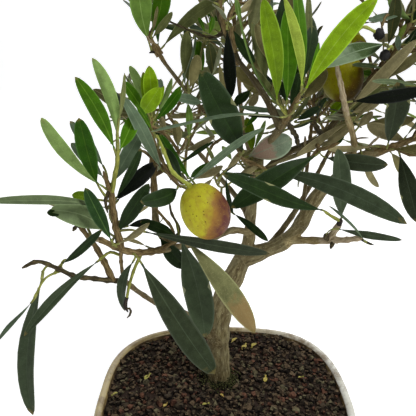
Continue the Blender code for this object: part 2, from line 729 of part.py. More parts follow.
def leaf_mesh(root, foot, tip, width, top, arch, sweep, thickness):
    """A petiole from root to foot and a blade from there to tip, its upper face towards top.

    The blade's section is a low triangle: a flat underside and a ridge along the midrib. It
    arches towards its upper face and sweeps to its left, each by a part of its length.
    """
    chord = tip - foot
    length = chord.length
    chord.normalize()
    top = (top - chord * top.dot(chord)).normalized()
    side = top.cross(chord)
    rings = [(root, PETIOLE_WIDTH * PETIOLE_ROOT_SCALE / 2, PETIOLE_HEIGHT * PETIOLE_ROOT_SCALE)]
    if (foot - root).length > PETIOLE_LENGTH * 1.1:
        rings.append((foot, PETIOLE_WIDTH / 2, PETIOLE_HEIGHT))
    for place, part in LEAF_SHAPE:
        bow = 4 * place * (1 - place) * length
        centre = foot + chord * length * place + top * arch * bow + side * sweep * bow
        rings.append((centre, width * part / 2, thickness))
    rings.append((tip, 0, 0))
    bm = bmesh.new()
    bmesh.ops.create_cone(bm, cap_ends=True, segments=3, radius1=1, radius2=0, depth=len(rings) - 1)
    base = (1 - len(rings)) / 2
    for ring in range(1, len(rings) - 1):
        everything = [*bm.verts, *bm.edges, *bm.faces]
        bmesh.ops.bisect_plane(bm, geom=everything, plane_co=(0, 0, base + ring), plane_no=(0, 0, 1))
    for vert in bm.verts:
        centre, half_width, height = rings[round(vert.co.z - base)]
        across = 0 if abs(vert.co.x) < 1e-6 else math.copysign(1, vert.co.x)
        ridge = 0.5 if across == 0 else -0.5
        vert.co = centre + side * across * half_width + top * ridge * height
    return bm_to_mesh(bm, "leaf")


def olive_mesh(centre, width, height, lean):
    segments, rings = OLIVE_SIDES if height > DRIED_BERRY_MOST else DRIED_BERRY_SIDES
    bm = bmesh.new()
    bmesh.ops.create_uvsphere(bm, u_segments=segments, v_segments=rings, radius=0.5)
    turn = Matrix.Translation(centre) @ Matrix.Rotation(math.radians(-lean), 4, "Y")
    bmesh.ops.transform(bm, matrix=turn @ Matrix.Diagonal((width, width, height, 1)), verts=bm.verts)
    return bm_to_mesh(bm, "olive")


class Occupied:
    """The pieces that are already placed, to tell whether a new one would touch them."""

    def __init__(self):
        self.pieces = []

    def add(self, mesh, owner):
        points = [vert.co.copy() for vert in mesh.vertices]
        low = Vector(min(point[axis] for point in points) for axis in range(3))
        high = Vector(max(point[axis] for point in points) for axis in range(3))
        tree = BVHTree.FromPolygons(points, [face.vertices for face in mesh.polygons])
        self.pieces.append((low, high, tree, owner))

    def hits(self, mesh, owner=None):
        """Whether the mesh touches a piece that is already placed, except one owner's."""
        points = [vert.co.copy() for vert in mesh.vertices]
        low = Vector(min(point[axis] for point in points) for axis in range(3))
        high = Vector(max(point[axis] for point in points) for axis in range(3))
        tree = BVHTree.FromPolygons(points, [face.vertices for face in mesh.polygons])
        for other_low, other_high, other, other_owner in self.pieces:
            if other_owner == owner:
                continue
            apart = any(
                low[axis] > other_high[axis] or high[axis] < other_low[axis] for axis in range(3)
            )
            if not apart and tree.overlap(other):
                return True
        return False


def nearest_place(point, twigs):
    """The nearest point on a mass's wood."""
    best = None
    for line in twigs:
        for a, b in zip(line, line[1:]):
            along = (point - a).dot(b - a) / (b - a).length_squared
            spot = a + (b - a) * min(max(along, 0.05), 0.95)
            if best is None or (spot - point).length < (best - point).length:
                best = spot
    return best


def upright_about(direction, degrees):
    """A direction square to the given one, turned round it from the one nearest to vertical."""
    up = Vector((0, 0, 1)) if abs(direction.z) < 0.95 else Vector((0, 1, 0))
    square = (up - direction * up.dot(direction)).normalized()
    return Matrix.Rotation(math.radians(degrees), 3, direction) @ square


class Mass:
    """One mass of foliage: its stem and twigs as lines with radii, and its leaves."""

    def __init__(self, name, paths, occupied):
        self.plan = MASSES[name]
        self.name = name
        self.occupied = occupied
        self.chance = random.Random(self.plan.get("seed"))
        line, radii = paths[self.plan["bough"]]
        direction = (line[-1] - line[-2]).normalized()
        start = line[-1] + direction * GAP
        first = min(radii[-1], TWIG_RADIUS * STEM_SWELL)
        stem = smooth_line([start, *self.plan["stem"]], TWIG_STEPS)
        stem.insert(1, start + direction * (stem[1] - start).length / 3)
        self.twigs = []
        self.meshes = []
        self.add_twig(stem, first, TWIG_TIP_RADIUS)
        for shown in SHOWN_TWIGS.get(name, ()):
            foot = nearest_place(Vector(shown[0]), self.twigs)
            self.add_twig(smooth_line([foot, *shown[1:]], TWIG_STEPS), TWIG_RADIUS, TWIG_TIP_RADIUS)

    def add_twig(self, line, first, last):
        mesh = tube_mesh(line, taper(line, first, last), TWIG_SIDES)
        self.twigs.append(line)
        self.meshes.append(mesh)
        self.occupied.add(mesh, self.name)

    def add_leaf(self, root, foot, tip, width, top, arch, sweep=0):
        """Adds a leaf, unless its blade would touch anything or its petiole another's piece."""
        blade = tip - foot
        thickness = max(LEAF_THICKNESS, blade.length * LEAF_THICKNESS_TO_LENGTH)
        blade_start = foot + blade * 0.10
        probe = leaf_mesh(
            blade_start, blade_start, tip, width + LEAF_CLEARANCE, top, arch, sweep, thickness + LEAF_CLEARANCE
        )
        mesh = leaf_mesh(root, foot, tip, width, top, arch, sweep, thickness)
        if not self.occupied.hits(probe) and not self.occupied.hits(mesh, self.name):
            self.meshes.append(mesh)
            self.occupied.add(mesh, self.name)

    def add_shown_leaves(self):
        for foot, tip, width, turn, arch, sweep in SHOWN_LEAVES.get(self.name, ()):
            foot, tip = Vector(foot), Vector(tip)
            chord = (tip - foot).normalized()
            top = Matrix.Rotation(math.radians(turn), 3, chord) @ VIEWED_FROM
            sweep = math.copysign(sweep, sweep * (90 - abs(turn)))
            self.add_leaf(nearest_place(foot, self.twigs), foot, tip, width, top, arch, sweep)

    def add_olives(self):
        for centre, width, height, lean in OLIVES.get(self.name, ()):
            centre = Vector(centre)
            mesh = olive_mesh(centre, width, height, lean)
            top = centre + Matrix.Rotation(math.radians(-lean), 3, "Y") @ Vector((0, 0, height * 0.42))
            foot = nearest_place(top, self.twigs)
            stalk = tube_mesh([foot, (foot + top) / 2, top], [TWIG_TIP_RADIUS] * 3, TWIG_SIDES)
            self.meshes += [stalk, mesh]
            self.occupied.add(mesh, self.name)

    def in_space(self, point):
        centre, radius = self.plan["space"]
        return (point - Vector(centre)).length < radius

    def grow_side_twigs(self):
        """Twigs off the stem, each a golden turn round from the last and curving upwards."""
        stem = self.twigs[0]
        turn = self.chance.uniform(0, 360)
        count = self.plan["twigs"]
        first, last = SIDE_TWIG_PLACES
        for index in range(count):
            place = first + (last - first) * index / (count - 1)
            foot, along = place_on(stem, place)
            turn += GOLDEN_TURN
            direction = (along * SIDE_TWIG_FORWARD + upright_about(along, turn)).normalized()
            length = self.plan["twig_length"] * self.chance.uniform(*SIDE_TWIG_LENGTHS) * (1.15 - 0.4 * place)
            middle = foot + direction * length / 2
            end = foot + direction * length + Vector((0, 0, length * SIDE_TWIG_RISE))
            clear = [foot.lerp(middle, 0.3), middle, end]
            probe = tube_mesh(clear, taper(clear, TWIG_RADIUS * 1.6, TWIG_RADIUS * 1.2), TWIG_SIDES)
            if self.in_space(end) and not self.occupied.hits(probe, self.name):
                self.add_twig([foot, middle, end], TWIG_RADIUS * 0.9, TWIG_TIP_RADIUS)

    def grow_leaves(self):
        """Pairs of leaves along each twig, each pair a quarter turn round from the last."""
        for line in self.twigs:
            pairs = max(2, round(line_lengths(line)[-1] / NODE_SPACING))
            turn = self.chance.uniform(0, 180)
            for pair in range(1, pairs + 1):
                place = pair / pairs
                spot, along = place_on(line, place * 0.98)
                turn += 90
                for side in (0, 180):
                    spread = self.chance.uniform(-LEAF_TURN_SPREAD, LEAF_TURN_SPREAD)
                    self.grow_leaf(spot, along, turn + side + spread, place)

    def grow_leaf(self, spot, along, turn, place):
        out = upright_about(along, turn)
        lean = math.radians(self.chance.uniform(*LEAF_LEANS) - LEAF_LEAN_LOST_TO_TIP * place)
        direction = along * math.cos(lean) + out * math.sin(lean)
        direction = (direction + Vector((0, 0, self.chance.uniform(*LEAF_RISES)))).normalized()
        length = self.plan["leaf_length"] * self.chance.uniform(*LEAF_LENGTHS) * (1.05 - 0.25 * place)
        foot = spot + direction * PETIOLE_LENGTH
        tip = foot + direction * length
        arch = self.chance.uniform(*LEAF_ARCHES)
        if self.in_space(tip):
            self.add_leaf(spot, foot, tip, length * LEAF_TO_WIDTH, along - out * 0.35, arch)


def make_masses(paths, trunk, limbs, parts, material):
    occupied = Occupied()
    for obj in (trunk, *limbs):
        occupied.add(obj.data, obj.name)
    masses = [Mass(name, paths, occupied) for name in MASSES]
    for mass in masses:
        mass.add_olives()
    for mass in masses:
        mass.add_shown_leaves()
    grown = [mass for mass in masses if "space" in mass.plan]
    for mass in grown:
        mass.grow_side_twigs()
    for mass in grown:
        mass.grow_leaves()
    for mass in masses:
        obj = union(mass.name, mass.meshes, parts)
        obj.data.materials.clear()
        obj.data.materials.append(material)


def main():
    for obj in list(bpy.data.objects):
        bpy.data.objects.remove(obj)
    parts = bpy.data.collections.new("olive_bonsai")
    cutters = bpy.data.collections.new("cutters")
    bpy.context.scene.collection.children.link(parts)
    bpy.context.scene.collection.children.link(cutters)
    triangle = triangle_section()
    bark = principled("bark", *BARK)
    leaf = principled("foliage", *FOLIAGE)
    make_pot(parts, cutters)
    make_soil(parts)
    paths, stubs = limb_paths()
    trunk = make_trunk(paths, stubs, parts, bark)
    limbs = []
    for name in LIMBS:
        line, radii = paths[name]
        limb = add_object(name, tube_mesh(line, radii, LIMB_SIDES), parts)
        shade_round(limb.data)
        limb.data.materials.append(bark)
        limbs.append(limb)
    make_masses(paths, trunk, limbs, parts, leaf)
    bpy.data.objects.remove(triangle)


main()
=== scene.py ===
"""Looks of a small olive bonsai in a cream glazed pot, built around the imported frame, in metres.

+X runs to the right and -Y towards the camera. The wood, twigs, leaves, olives, pot and soil
each have a section of their own. Twigs and leaves that the photograph shows are placed one by
one, and a seeded rule grows the finer ones between them, clear of each other and of the
places where the photograph shows sky.
"""

import json
import math
import random

import bmesh
import bpy
import numpy as np
from mathutils import Matrix, Vector, noise
from mathutils.bvhtree import BVHTree
from mathutils.kdtree import KDTree

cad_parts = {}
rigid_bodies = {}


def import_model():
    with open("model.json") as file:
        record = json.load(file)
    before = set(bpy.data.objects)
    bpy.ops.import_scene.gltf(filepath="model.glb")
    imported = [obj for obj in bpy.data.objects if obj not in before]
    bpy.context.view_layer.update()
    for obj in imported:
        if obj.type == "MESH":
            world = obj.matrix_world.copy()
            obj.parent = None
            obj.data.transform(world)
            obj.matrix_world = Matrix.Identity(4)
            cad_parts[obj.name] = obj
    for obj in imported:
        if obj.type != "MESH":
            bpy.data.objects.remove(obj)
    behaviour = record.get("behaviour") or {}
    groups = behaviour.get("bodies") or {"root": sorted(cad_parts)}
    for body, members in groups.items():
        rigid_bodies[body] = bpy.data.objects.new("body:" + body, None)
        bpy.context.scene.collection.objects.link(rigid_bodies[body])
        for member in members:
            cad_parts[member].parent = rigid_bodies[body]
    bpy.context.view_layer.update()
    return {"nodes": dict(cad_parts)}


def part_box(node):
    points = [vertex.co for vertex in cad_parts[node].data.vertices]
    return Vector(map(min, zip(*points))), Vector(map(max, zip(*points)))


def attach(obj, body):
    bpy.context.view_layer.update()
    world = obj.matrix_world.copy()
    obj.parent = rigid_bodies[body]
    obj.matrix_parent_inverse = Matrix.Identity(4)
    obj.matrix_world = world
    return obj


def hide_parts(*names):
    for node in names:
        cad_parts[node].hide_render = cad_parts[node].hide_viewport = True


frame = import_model()

# Camera, fitted to the pot's rim in the photograph. VIEWER is the direction towards it, which
# the turns of shown leaves are measured from.
CAMERA_PLACE = np.array((-0.0094, -0.2420, 0.2520))
CAMERA_PITCH = 17.7
CAMERA_SENSOR = 36.0
CAMERA_LENS = 41.54
VIEWER = np.array((0.0, -0.95, 0.30))

# Pot: a rounded square, with its outside sizes at the rim. Each ripple is the number of its
# waves round the pot, their phase and their height. Throwing marks are low rings outside.
POT_WIDTH = 0.150
POT_DEPTH = 0.144
POT_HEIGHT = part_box("pot")[1].z
POT_FOOT_SCALE = 0.84
POT_WALL = 0.0045
POT_CORNER_POWER = 2.8
POT_SIDES = 240
POT_LIP_ROUND = 0.0021
POT_FOOT_ROUND = 0.0016
POT_INNER_ROWS = 8
POT_OUTLINE_RIPPLES = ((3, 0.6, 0.0003), (7, 2.1, 0.00018))
POT_RIM_RIPPLES = ((2, 1.0, 0.00025), (9, 0.0, 0.00012))
THROWING_MARKS = 1900
THROWING_DEPTH = 0.00012
SOIL_TOP = POT_HEIGHT - 0.0035

# Trunk: centre line from the soil to the fork, with the radius at each point
TRUNK_LINE = (
    ((-0.0026, 0.0136, 0.0540), 0.0070),
    ((-0.0026, 0.0136, 0.0568), 0.0068),
    ((-0.0026, 0.0136, 0.0600), 0.0066),
    ((-0.0030, 0.0124, 0.0720), 0.0064),
    ((-0.0034, 0.0107, 0.0860), 0.0062),
    ((-0.0013, 0.0078, 0.1130), 0.0058),
    ((0.0042, 0.0053, 0.1300), 0.0054),
    ((0.0100, 0.0040, 0.1440), 0.0049),
)
FORK = (0.0100, 0.0040, 0.1440)

# Limbs and boughs: parent, place along the parent (None: at the fork, 1: at its tip), the
# points they run through, and the radii at their two ends
LIMBS = {
    "left_limb": (
        "trunk", None,
        ((0.013, 0.004, 0.155), (0.014, 0.005, 0.169), (0.015, 0.003, 0.184), (0.017, 0.0, 0.1955)),
        0.0033, 0.0022,
    ),
    "right_limb": (
        "trunk", None,
        ((0.02, 0.002, 0.149), (0.031, 0.0, 0.155), (0.0385, -0.002, 0.164), (0.044, -0.004, 0.178),
         (0.05, -0.006, 0.188)),
        0.004, 0.0032,
    ),
    "centre_bough": (
        "left_limb", 1,
        ((0.0175, -0.006, 0.207), (0.023, -0.014, 0.216), (0.026, -0.024, 0.225)),
        0.0021, 0.0016,
    ),
    "outer_right_bough": (
        "right_limb", 1,
        ((0.064, -0.009, 0.2035), (0.074, -0.011, 0.2065)),
        0.0021, 0.0019,
    ),
    "upper_right_bough": (
        "left_limb", 0.86,
        ((0.028, 0.002, 0.202), (0.038, 0.004, 0.2065), (0.05, 0.006, 0.212), (0.061, 0.008, 0.226),
         (0.072, 0.008, 0.24)),
        0.0021, 0.0013,
    ),
    "mid_right_bough": ("upper_right_bough", 0.45, ((0.045, -0.008, 0.2105),), 0.0011, 0.001),
    "upper_left_bough": (
        "left_limb", 0.92,
        ((0.002, 0.002, 0.2115), (-0.0135, 0.005, 0.227), (-0.0235, 0.005, 0.239), (-0.032, 0.003, 0.25)),
        0.0014, 0.001,
    ),
    "inner_bough": ("left_limb", 0.9, ((0.011, -0.009, 0.202),), 0.0011, 0.001),
    "front_left_bough": (
        "left_limb", 0.3,
        ((0.003, -0.008, 0.165), (-0.013, -0.028, 0.1665), (-0.029, -0.048, 0.171)),
        0.0018, 0.0016,
    ),
    "upright_left_bough": (
        "front_left_bough", 0.9,
        ((-0.032, -0.04, 0.179), (-0.0335, -0.036, 0.195)),
        0.0016, 0.0015,
    ),
    "low_left_bough": (
        "trunk", 0.36,
        ((-0.014, 0.002, 0.099), (-0.021, -0.008, 0.116), (-0.036, -0.032, 0.137),
         (-0.047, -0.052, 0.159)),
        0.0018, 0.0011,
    ),
    "upright_right_bough": (
        "outer_right_bough", 0.55,
        ((0.061, -0.0125, 0.212), (0.0535, -0.0185, 0.228)),
        0.0016, 0.0014,
    ),
    "low_right_bough": ("right_limb", 0.42, ((0.051, -0.012, 0.161),), 0.0021, 0.0018),
    "top_bough": ("centre_bough", 0.8, ((0.015, -0.02, 0.236), (0.003, -0.018, 0.251)), 0.0019, 0.0011),
    "right_back_bough": (
        "right_limb", 0.62,
        ((0.043, 0.008, 0.186), (0.047, 0.022, 0.203)),
        0.0013, 0.001,
    ),
    "back_right_bough": (
        "right_limb", 0.22,
        ((0.037, 0.014, 0.164), (0.052, 0.032, 0.18), (0.064, 0.046, 0.196)),
        0.0018, 0.0012,
    ),
    "back_left_bough": (
        "left_limb", 0.42,
        ((0.008, 0.016, 0.174), (-0.006, 0.031, 0.188), (-0.022, 0.045, 0.204)),
        0.0017, 0.0012,
    ),
    "back_top_bough": (
        "left_limb", 0.7,
        ((0.014, 0.014, 0.196), (0.01, 0.026, 0.216), (0.008, 0.034, 0.236)),
        0.0015, 0.0011,
    ),
}

# Masses: the bough each grows from and the points of its stem beyond the bough's tip. Where
# it has a space, the seeded rule tries that many side twigs of about the given length, with
# pairs of leaves, and every leaf tip stays inside that sphere: (centre, radius).
MASSES = {
    "foliage_left": {
        "bough": "front_left_bough",
        "stem": ((-0.038, -0.056, 0.173), (-0.0455, -0.06, 0.1765), (-0.054, -0.062, 0.182)),
        "tip_radius": 0.0011, "seed": 52,
    },
    "foliage_mid_left": {
        "bough": "upright_left_bough",
        "stem": ((-0.034, -0.034, 0.214), (-0.034, -0.034, 0.231)),
        "space": ((-0.018, -0.016, 0.228), 0.038),
        "twigs": 8, "twig_length": 0.018, "leaf_length": 0.032, "seed": 2,
    },
    "foliage_low_left": {
        "bough": "low_left_bough",
        "stem": (
            (-0.0566, -0.06, 0.1628), (-0.063, -0.066, 0.1671), (-0.0708, -0.071, 0.1742),
            (-0.0746, -0.075, 0.1772), (-0.0789, -0.078, 0.1761),
        ),
        "stem_finish": "dark", "seed": 56,
    },
    "foliage_upper_left": {
        "bough": "upper_left_bough",
        "stem": ((-0.038, 0.002, 0.262), (-0.038, 0.006, 0.272)),
        "space": ((-0.016, 0.012, 0.272), 0.044),
        "twigs": 9, "twig_length": 0.018, "leaf_length": 0.036, "seed": 4,
    },
    "foliage_inner": {
        "bough": "inner_bough",
        "stem": ((0.004, -0.02, 0.2075),),
        "seed": 53,
    },
    "foliage_centre": {
        "bough": "centre_bough",
        "stem": ((0.028, -0.031, 0.232), (0.03, -0.037, 0.238)),
        "seed": 54,
    },
    "foliage_top": {
        "bough": "top_bough",
        "stem": ((-0.004, -0.014, 0.266), (-0.006, -0.01, 0.282)),
        "space": ((0.004, -0.008, 0.276), 0.046),
        "stem_finish": "dark", "twigs": 10, "twig_length": 0.02, "leaf_length": 0.038, "seed": 7,
    },
    "foliage_mid_right": {
        "bough": "mid_right_bough",
        "stem": ((0.044, -0.018, 0.2095), (0.05, -0.026, 0.214)),
        "space": ((0.056, -0.012, 0.212), 0.034),
        "twigs": 7, "twig_length": 0.014, "leaf_length": 0.032, "seed": 8,
    },
    "foliage_upper_right": {
        "bough": "upper_right_bough",
        "stem": ((0.082, 0.008, 0.254), (0.089, 0.006, 0.272)),
        "space": ((0.084, 0.008, 0.268), 0.048),
        "twigs": 10, "twig_length": 0.022, "leaf_length": 0.038, "seed": 9,
    },
    "foliage_outer_right": {
        "bough": "outer_right_bough",
        "stem": ((0.091, -0.012, 0.214), (0.103, -0.014, 0.222), (0.11, -0.014, 0.234)),
        "space": ((0.104, -0.008, 0.222), 0.046),
        "twigs": 10, "twig_length": 0.02, "leaf_length": 0.038, "seed": 10,
    },
    "foliage_front_right": {
        "bough": "upright_right_bough",
        "stem": ((0.0474, -0.024, 0.2457), (0.0447, -0.026, 0.256)),
        "space": ((0.052, -0.016, 0.256), 0.038),
        "stem_finish": "tan", "twigs": 7, "twig_length": 0.016, "leaf_length": 0.034, "seed": 11,
    },
    "foliage_low_right": {
        "bough": "low_right_bough",
        "stem": ((0.0585, -0.02, 0.1645), (0.065, -0.026, 0.168)),
        "stem_finish": "tan", "tip_radius": 0.0012, "seed": 57,
    },
    "foliage_right_back": {
        "bough": "right_back_bough",
        "stem": ((0.05, 0.034, 0.22), (0.052, 0.042, 0.24)),
        "space": ((0.05, 0.036, 0.23), 0.048),
        "twigs": 11, "twig_length": 0.02, "leaf_length": 0.04, "seed": 13,
    },
    "foliage_back_right": {
        "bough": "back_right_bough",
        "stem": ((0.076, 0.058, 0.21), (0.084, 0.064, 0.228)),
        "space": ((0.08, 0.056, 0.214), 0.048),
        "twigs": 11, "twig_length": 0.022, "leaf_length": 0.04, "seed": 14,
    },
    "foliage_back_left": {
        "bough": "back_left_bough",
        "stem": ((-0.034, 0.056, 0.218), (-0.04, 0.06, 0.238)),
        "space": ((-0.028, 0.058, 0.224), 0.052),
        "twigs": 12, "twig_length": 0.024, "leaf_length": 0.04, "seed": 15,
    },
    "foliage_back_top": {
        "bough": "back_top_bough",
        "stem": ((0.006, 0.04, 0.256), (0.004, 0.042, 0.276)),
        "space": ((0.004, 0.04, 0.264), 0.05),
        "twigs": 12, "twig_length": 0.022, "leaf_length": 0.04, "seed": 16,
    },
}

# Twigs that the photograph shows one by one, each from the nearest place on its mass's wood:
# radii at the two ends, finish, and the points they run through
SHOWN_TWIGS = {
    "foliage_left": (
        (0.0009, 0.0007, "brown", ((-0.031, -0.05, 0.172), (-0.02, -0.049, 0.177))),
        (0.0016, 0.0012, "brown",
         ((-0.0455, -0.06, 0.1765), (-0.047, -0.06, 0.191), (-0.048, -0.058, 0.201))),
        (0.0012, 0.0006, "brown",
         ((-0.048, -0.058, 0.199), (-0.049, -0.059, 0.204), (-0.05, -0.06, 0.209))),
        (0.001, 0.0006, "stalk",
         ((-0.0478, -0.058, 0.199), (-0.044, -0.062, 0.214), (-0.043, -0.064, 0.225))),
        (0.001, 0.0008, "tan", ((-0.052, -0.062, 0.181), (-0.0555, -0.063, 0.1815))),
        (0.0007, 0.0006, "stalk",
         ((-0.0383, -0.054, 0.1697), (-0.0408, -0.056, 0.165), (-0.0429, -0.058, 0.1585),
          (-0.0442, -0.06, 0.1525))),
        (0.0008, 0.0006, "black",
         ((-0.0442, -0.06, 0.153), (-0.0447, -0.06, 0.1501), (-0.0436, -0.06, 0.1472))),
        (0.0005, 0.0004, "dark",
         ((-0.0436, -0.06, 0.1477), (-0.0421, -0.061, 0.1493), (-0.0425, -0.062, 0.147),
          (-0.0438, -0.062, 0.1455))),
        (0.0008, 0.0007, "brown",
         ((-0.046, -0.057, 0.1742), (-0.0465, -0.054, 0.1678), (-0.0464, -0.052, 0.1603))),
        (0.0008, 0.0005, "dark",
         ((-0.0485, -0.058, 0.2016), (-0.05, -0.06, 0.1972), (-0.0495, -0.06, 0.1918))),
        (0.0007, 0.0005, "stalk",
         ((-0.046, -0.055, 0.1733), (-0.0496, -0.058, 0.1741), (-0.0524, -0.059, 0.1728),
          (-0.0548, -0.06, 0.171))),
        (0.0008, 0.0005, "brown",
         ((-0.0247, -0.04, 0.1724), (-0.0254, -0.042, 0.1789), (-0.0292, -0.042, 0.184),
          (-0.0332, -0.04, 0.188))),
        (0.0006, 0.0005, "dark",
         ((-0.0229, -0.04, 0.1724), (-0.0217, -0.044, 0.1787), (-0.0249, -0.046, 0.1867),
          (-0.0255, -0.048, 0.1923))),
    ),
    "foliage_mid_left": (
        (0.0009, 0.0006, "brown",
         ((-0.034, -0.034, 0.218), (-0.03, -0.043, 0.213), (-0.026, -0.052, 0.208),
          (-0.019, -0.06, 0.2035))),
        (0.0009, 0.0007, "brown",
         ((-0.0335, -0.0355, 0.205), (-0.029, -0.047, 0.2085), (-0.0205, -0.052, 0.2))),
        (0.0008, 0.0006, "brown",
         ((-0.0325, -0.034, 0.223), (-0.0269, -0.032, 0.2177), (-0.0215, -0.03, 0.2097))),
        (0.0007, 0.0005, "brown",
         ((-0.0338, -0.036, 0.2083), (-0.0368, -0.036, 0.2118), (-0.0398, -0.036, 0.2127))),
    ),
    "foliage_low_left": (
        (0.0014, 0.0009, "brown",
         ((-0.0482, -0.054, 0.1613), (-0.0557, -0.055, 0.1738), (-0.0592, -0.056, 0.18),
          (-0.0629, -0.058, 0.1882))),
        (0.0006, 0.0007, "dark",
         ((-0.0611, -0.057, 0.1844), (-0.0628, -0.058, 0.1856), (-0.0646, -0.058, 0.1834))),
        (0.00045, 0.0004, "stalk",
         ((-0.0709, -0.073, 0.1747), (-0.0728, -0.073, 0.173), (-0.074, -0.0725, 0.1702),
          (-0.0747, -0.072, 0.1674))),
        (0.00045, 0.0004, "stalk",
         ((-0.0679, -0.069, 0.1698), (-0.0709, -0.072, 0.1704), (-0.0724, -0.076, 0.1698),
          (-0.0735, -0.079, 0.1671), (-0.075, -0.081, 0.1644))),
        (0.00045, 0.0004, "stalk",
         ((-0.0674, -0.068, 0.1702), (-0.0675, -0.068, 0.1728), (-0.0666, -0.068, 0.1745),
          (-0.065, -0.069, 0.1758))),
    ),
    "foliage_upper_left": (
        (0.0021, 0.0017, "brown",
         ((-0.0329, 0.004, 0.2514), (-0.0346, 0.003, 0.2547), (-0.036, 0.003, 0.2574))),
        (0.0008, 0.0004, "tan",
         ((-0.0355, 0.003, 0.257), (-0.0376, 0.001, 0.2587), (-0.0388, 0.0, 0.2614))),
        (0.0007, 0.0004, "black",
         ((-0.0346, 0.003, 0.2533), (-0.0364, 0.001, 0.2533), (-0.0377, 0.0, 0.2528))),
    ),
    "foliage_inner": (
        (0.0009, 0.0007, "brown", ((0.0088, -0.0125, 0.2037), (0.019, -0.013, 0.199))),
        (0.0008, 0.0005, "brown",
         ((0.0, 0.002, 0.213), (-0.007, -0.009, 0.21), (-0.0099, -0.018, 0.2044),
          (-0.0056, -0.02, 0.1971))),
        (0.0008, 0.0006, "brown",
         ((-0.0135, 0.005, 0.227), (-0.015, -0.006, 0.219), (-0.019, -0.018, 0.211),
          (-0.02, -0.022, 0.204))),
    ),
    "foliage_centre": (
        (0.001, 0.0008, "stalk", ((0.0262, -0.0255, 0.226), (0.0215, -0.0305, 0.2315))),
        (0.0012, 0.001, "dark",
         ((0.025, -0.02, 0.2215), (0.0331, -0.008, 0.2147), (0.038, 0.004, 0.2065))),
    ),
    "foliage_top": (
        (0.0009, 0.0007, "brown", ((0.002, -0.018, 0.253), (0.0, -0.029, 0.264))),
        (0.0008, 0.0004, "dark",
         ((-0.0023, -0.015, 0.2612), (-0.0094, -0.008, 0.2598), (-0.0169, -0.004, 0.2626),
          (-0.0226, 0.0, 0.265), (-0.0307, 0.002, 0.2686))),
    ),
    "foliage_mid_right": (
        (0.0013, 0.0011, "dark", ((0.05, 0.006, 0.212), (0.0454, 0.0, 0.217), (0.0403, -0.008, 0.2229))),
        (0.0006, 0.0006, "tan",
         ((0.0403, 0.0035, 0.2065), (0.0402, 0.002, 0.2101), (0.04, 0.002, 0.2126))),
        (0.0007, 0.0005, "tan",
         ((0.0667, -0.009, 0.2045), (0.0699, -0.01, 0.2107), (0.0732, -0.012, 0.2149))),
        (0.0004, 0.0003, "brown",
         ((0.0599, -0.013, 0.2129), (0.063, -0.014, 0.2142), (0.0666, -0.016, 0.2146))),
    ),
    "foliage_upper_right": (
        (0.0009, 0.0006, "brown", ((0.077, 0.007, 0.247), (0.074, -0.009, 0.2555))),
        (0.0009, 0.0006, "brown", ((0.074, 0.007, 0.243), (0.066, 0.004, 0.2575), (0.059, 0.003, 0.255))),
        (0.0012, 0.0009, "brown",
         ((0.0805, 0.006, 0.2533), (0.0826, 0.002, 0.2601), (0.0867, 0.0, 0.2667))),
        (0.0008, 0.0006, "brown",
         ((0.0856, 0.006, 0.2635), (0.0787, 0.002, 0.2691), (0.0734, -0.002, 0.2692),
          (0.071, -0.004, 0.2639))),
    ),
    "foliage_low_right": (
        (0.0017, 0.0015, "tan", ((0.0525, -0.0135, 0.162), (0.0555, -0.0195, 0.1735))),
        (0.0012, 0.0009, "dark",
         ((0.0512, -0.015, 0.162), (0.049, -0.018, 0.1658), (0.0501, -0.019, 0.1678))),
        (0.0014, 0.0009, "dark", ((0.0545, -0.016, 0.163), (0.0525, -0.017, 0.1585))),
        (0.0014, 0.0015, "black", ((0.0554, -0.0195, 0.1725), (0.0552, -0.021, 0.1758))),
        (0.0007, 0.0004, "black",
         ((0.0649, -0.026, 0.1675), (0.0673, -0.028, 0.1661), (0.0695, -0.03, 0.1659))),
        (0.0009, 0.0006, "stalk",
         ((0.0554, -0.021, 0.1753), (0.0511, -0.022, 0.1772), (0.046, -0.024, 0.1809))),
    ),
}

